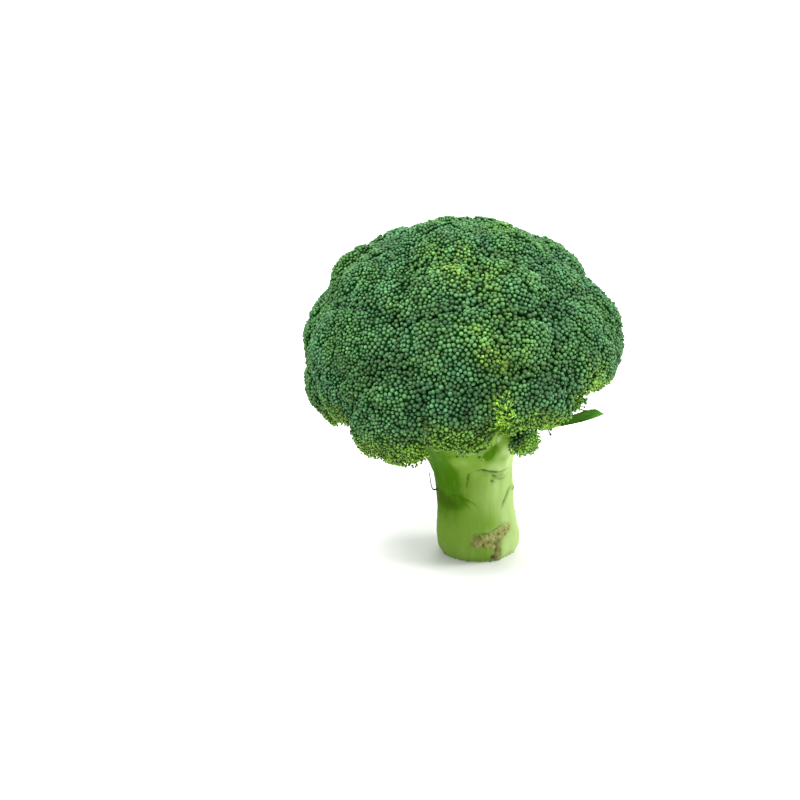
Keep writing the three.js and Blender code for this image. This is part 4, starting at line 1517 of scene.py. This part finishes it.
def dress_stalk(material, florets, crown):
    """The stalk's skin, with its creases, scabs, fibres and bruises. Returns a tree of it."""
    points, triangles = stalk_body()
    normals = corner_normals(points, triangles)
    trunk = ramp(-points[:, 2], -TRUNK_FADES[1], -TRUNK_FADES[0])
    height, cork, crease = trunk_details(points)
    fibre_points = points * FIBRE_STRETCH
    coarse, fine = FIBRE_HEIGHTS
    fibres = coarse * wave(fibre_points, "fibre") + fine * wave(fibre_points, "fine fibre")
    large, small = LUMP_HEIGHTS
    lumps = large * wave(points, "lump") + small * wave(points, "small lump")
    skin = (1 - 0.8 * cork) * fibres + lumps + height * trunk
    cut = (normals[:, 2] < CUT_FACING) & (points[:, 2] < CUT_TOP)
    skin = np.where(cut | (points[:, 2] < CUT_STILL), 0, skin)
    points = points + normals * skin[:, None]
    points[:, 2] = np.maximum(points[:, 2], 0)

    green = stalk_green(points, normals, fibre_points)
    green += shade_under_florets(points, triangles, normals, florets, crown)
    mottled = MOTTLED[0] + MOTTLED[1] * wave(points, "bruise")
    # The real bruises join the crease mark, the painted shade of the creases.
    for middle, radius, strength in BRUISES:
        crease = np.maximum(crease, strength * mottled * spot_share(points, middle, radius))
    marks = np.stack([cork * trunk, crease * trunk, green, cut.astype(float)], axis=1)
    piece = make_piece("stalk_skin", points, triangles, material, marks)
    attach(piece, "root")
    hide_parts("stalk")
    return tree_of(points, triangles)


# ---------------------------------------------------------------- the leaf

LEAF_ROWS = 100  # of points from root to tip, and across
LEAF_COLUMNS = 20
LEAF_SKEW = 2.2 * MM  # how much further the near corner of the tip reaches
LEAF_WIDENS = (0.12, 0.8)  # shares of its length between which the blade widens
LEAF_BLUNT = (0.88, 0.75)  # share of its length where its tip starts, and how much that narrows
LEAF_OUTLINE = (0.035, 140)  # waves of the outline: share of the width, radians over the length
LEAF_RIPPLE = (0.05, 31)  # waves of the edge's height: share of the cup, radians over the length
VEIN_HALF = 0.09  # share of the blade's half width, and of the space between side veins
SIDE_VEINS = 9
VEIN_SLANT = 1.3  # spaces between side veins, by which one rises on its way to the edge
VEIN_STRENGTH = 0.7
VEIN_RISE = (0.09, 0.1)  # mm, of the side veins on the upper and the lower side
BLADE_THICK = (0.28, 0.6)  # mm, half the blade's thickness, and the share that its edge lacks
RIB_THICK = (0.38, 0.1)  # mm, what the midrib adds at the root alone, and all along
RIB_CHANNEL = -0.3  # the midrib's share on the upper side, which is channelled


def leaf_half_width(share):
    """Of the blade, from its stem to its blunt tip, in mm."""
    grown = LEAF_STEM + (LEAF_HALF_WIDTH - LEAF_STEM) * ramp(share, *LEAF_WIDENS)
    grown *= 1 + LEAF_OUTLINE[0] * math.sin(LEAF_OUTLINE[1] * share)
    start, narrows = LEAF_BLUNT
    return grown * math.sqrt(1 - narrows * max(0.0, (share - start) / (1 - start)) ** 2)


def leaf_point(t, share, half, side):
    """Height over the blade's middle and marks, t of the way across, on the side 1 or -1."""
    vein = math.exp(-((t / VEIN_HALF) ** 2))
    slant = (share * SIDE_VEINS - abs(t) * VEIN_SLANT) % 1
    lines = math.exp(-(((slant - 0.5) / VEIN_HALF) ** 2)) * min(1, 4 * (1 - abs(t))) * VEIN_STRENGTH
    wavy = LEAF_RIPPLE[0] * math.sin(LEAF_RIPPLE[1] * share + 2 * t) * abs(t)
    cup = LEAF_CUP * MM * (t * t * half / (LEAF_HALF_WIDTH * MM) + wavy)
    rib_share = 1 if side < 0 else RIB_CHANNEL
    thick = BLADE_THICK[0] * (1 - BLADE_THICK[1] * abs(t) ** 3)
    thick += (RIB_THICK[0] * (1 - share) + RIB_THICK[1]) * vein * rib_share
    ridge = lines * (VEIN_RISE[0] if side > 0 else -VEIN_RISE[1])
    return cup + (side * thick + ridge) * MM, (max(vein, lines), share, abs(t), 0)


def dress_leaf(material):
    """A blade with a midrib, side veins, a wavy edge and a blunt tip. Returns a tree of it."""
    middle = smooth_route(LEAF_MIDRIB, (LEAF_ROWS - 1) // (len(LEAF_MIDRIB) - 1) + 1)
    middle = middle[np.linspace(0, len(middle) - 1, LEAF_ROWS).round().astype(int)] * MM
    roll = math.radians(LEAF_ROLL)
    points, marks = [], []
    for side in (1, -1):
        for i, (place, along) in enumerate(zip(middle, unit(np.gradient(middle, axis=0)))):
            share = i / (LEAF_ROWS - 1)
            half = leaf_half_width(share) * MM
            level = unit(np.cross([0, 0, 1.0], along))
            across = level * math.cos(roll) + np.cross(along, level) * math.sin(roll)
            out = np.cross(along, across)
            for j in range(LEAF_COLUMNS):
                t = -1 + 2 * j / (LEAF_COLUMNS - 1)
                lift, mark = leaf_point(t, share, half, side)
                skew = -LEAF_SKEW * t * share**6
                points.append(place + across * t * half + out * lift + along * skew)
                marks.append(mark)
    points, marks = np.array(points), np.array(marks)
    grid = np.arange(LEAF_ROWS * LEAF_COLUMNS).reshape(LEAF_ROWS, LEAF_COLUMNS)
    a, b, c, d = grid[:-1, :-1], grid[1:, :-1], grid[1:, 1:], grid[:-1, 1:]
    upper = np.stack([a, b, c, a, c, d], axis=-1).reshape(-1, 3)
    lower = upper[:, ::-1] + grid.size
    rim = np.concatenate([grid[0, :], grid[1:, -1], grid[-1, -2::-1], grid[-2:0:-1, 0]])
    after = np.roll(rim, -1)
    under, under_after = rim + grid.size, after + grid.size
    wall = np.stack([rim, after, under_after, rim, under_after, under], axis=-1).reshape(-1, 3)
    triangles = np.concatenate([upper, lower, wall])
    piece = make_piece("leaf_blade", points, triangles, material, marks)
    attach(piece, "root")
    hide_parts("leaf")
    return tree_of(points, triangles)


# ---------------------------------------------------------------- camera, floor and light


CAMERA_TILT = math.radians(20)  # it looks down by this
CAMERA_TARGET = Vector((-6, 0, 85)) * MM
CAMERA_DISTANCE = 1200 * MM
CAMERA_LENS = 108.4  # mm, for a picture 36 mm wide
CAMERA_SHIFT = (-0.084, -0.0108)  # shares of the picture's width
LIGHTS_AIM = Vector((0, 0, 90)) * MM
# Round lights: name, place, size and power.
LIGHTS = [
    ("overhead", (-0.2, -0.25, 1.0), 0.7, 15),
    ("right", (1.0, 0.1, 0.4), 0.6, 11),
    ("back", (0.1, 0.9, 0.7), 0.6, 5),
]
FLOOR_HALF = 6.0
FLOOR_GREYS = ((0.86, 0.86, 0.86), (0.88, 0.88, 0.88))


def studio():
    """The camera of the photo, a white sky, three lights and a pale floor."""
    scene = bpy.context.scene
    scene.view_settings.view_transform = "Standard"
    camera = linked("camera", bpy.data.cameras.new("camera"))
    back = Vector((0, -math.cos(CAMERA_TILT), math.sin(CAMERA_TILT)))
    camera.location = CAMERA_TARGET + CAMERA_DISTANCE * back
    camera.rotation_euler = (math.radians(90) - CAMERA_TILT, 0, 0)
    camera.data.sensor_width = 36
    camera.data.lens = CAMERA_LENS
    camera.data.shift_x, camera.data.shift_y = CAMERA_SHIFT
    camera.data.clip_end = 30
    scene.camera = camera

    scene.world = bpy.data.worlds.new("studio")
    scene.world.use_nodes = True
    background = scene.world.node_tree.nodes["Background"]
    background.inputs["Color"].default_value = (1, 1, 1, 1)
    background.inputs["Strength"].default_value = 1.0

    for name, place, size, power in LIGHTS:
        lamp = bpy.data.lights.new(name, "AREA")
        lamp.shape = "DISK"
        lamp.size = size
        lamp.energy = power
        light = linked(name, lamp)
        light.location = place
        light.rotation_euler = (LIGHTS_AIM - Vector(place)).to_track_quat("-Z", "Y").to_euler()

    sheet = bpy.data.meshes.new("floor")
    corners = [(x * FLOOR_HALF, y * FLOOR_HALF, 0) for x, y in ((-1, -1), (1, -1), (1, 1), (-1, 1))]
    sheet.from_pydata(corners, [], [(0, 1, 2, 3)])
    ground = linked("floor", sheet)
    paint = Nodes("floor")
    paint.surface(paint.mix(paint.noise(paint.place(), 3.0), *FLOOR_GREYS), 0.8, 0.5)
    ground.data.materials.append(paint.material)


# ---------------------------------------------------------------- the whole head

NEIGHBOURS = 70 * MM  # florets whose middles are nearer than this may touch
FLORET_SEED = 4100
FURROW_SEED = 77
TUFT_SEED = 505
STRAY_SEED = 506


def neighbours(floret, florets):
    """The other florets near to one."""
    others = [f for f in florets if f is not floret]
    return [f for f in others if np.linalg.norm(f.middle - floret.middle) < NEIGHBOURS]


studio()
florets = [Floret(name) for name in sorted(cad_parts) if name.startswith("floret_")]
crown = Crown([f for f in florets if not f.side])
near = [neighbours(f, florets) for f in florets]
randoms = [np.random.default_rng(FLORET_SEED + f.seed) for f in florets]
lobes = [Lobes(f, random) for f, random in zip(florets, randoms)]
rows = [floret_buds(*each, crown) for each in zip(florets, near, lobes, randoms)]
bridge_buds(crown, florets, rows, np.random.default_rng(FURROW_SEED))
bud_green = bud_material()
stalk = dress_stalk(stalk_material(), florets, crown)
for each in zip(florets, rows, near, lobes, randoms):
    dress_floret(*each, crown, stalk, bud_green)
dress_tufts(bud_green, [stalk, *(f.tree for f in florets)], np.random.default_rng(TUFT_SEED))
leaf = dress_leaf(leaf_material())
dress_strays(bud_green, {"stalk": stalk, "leaf": leaf}, np.random.default_rng(STRAY_SEED))
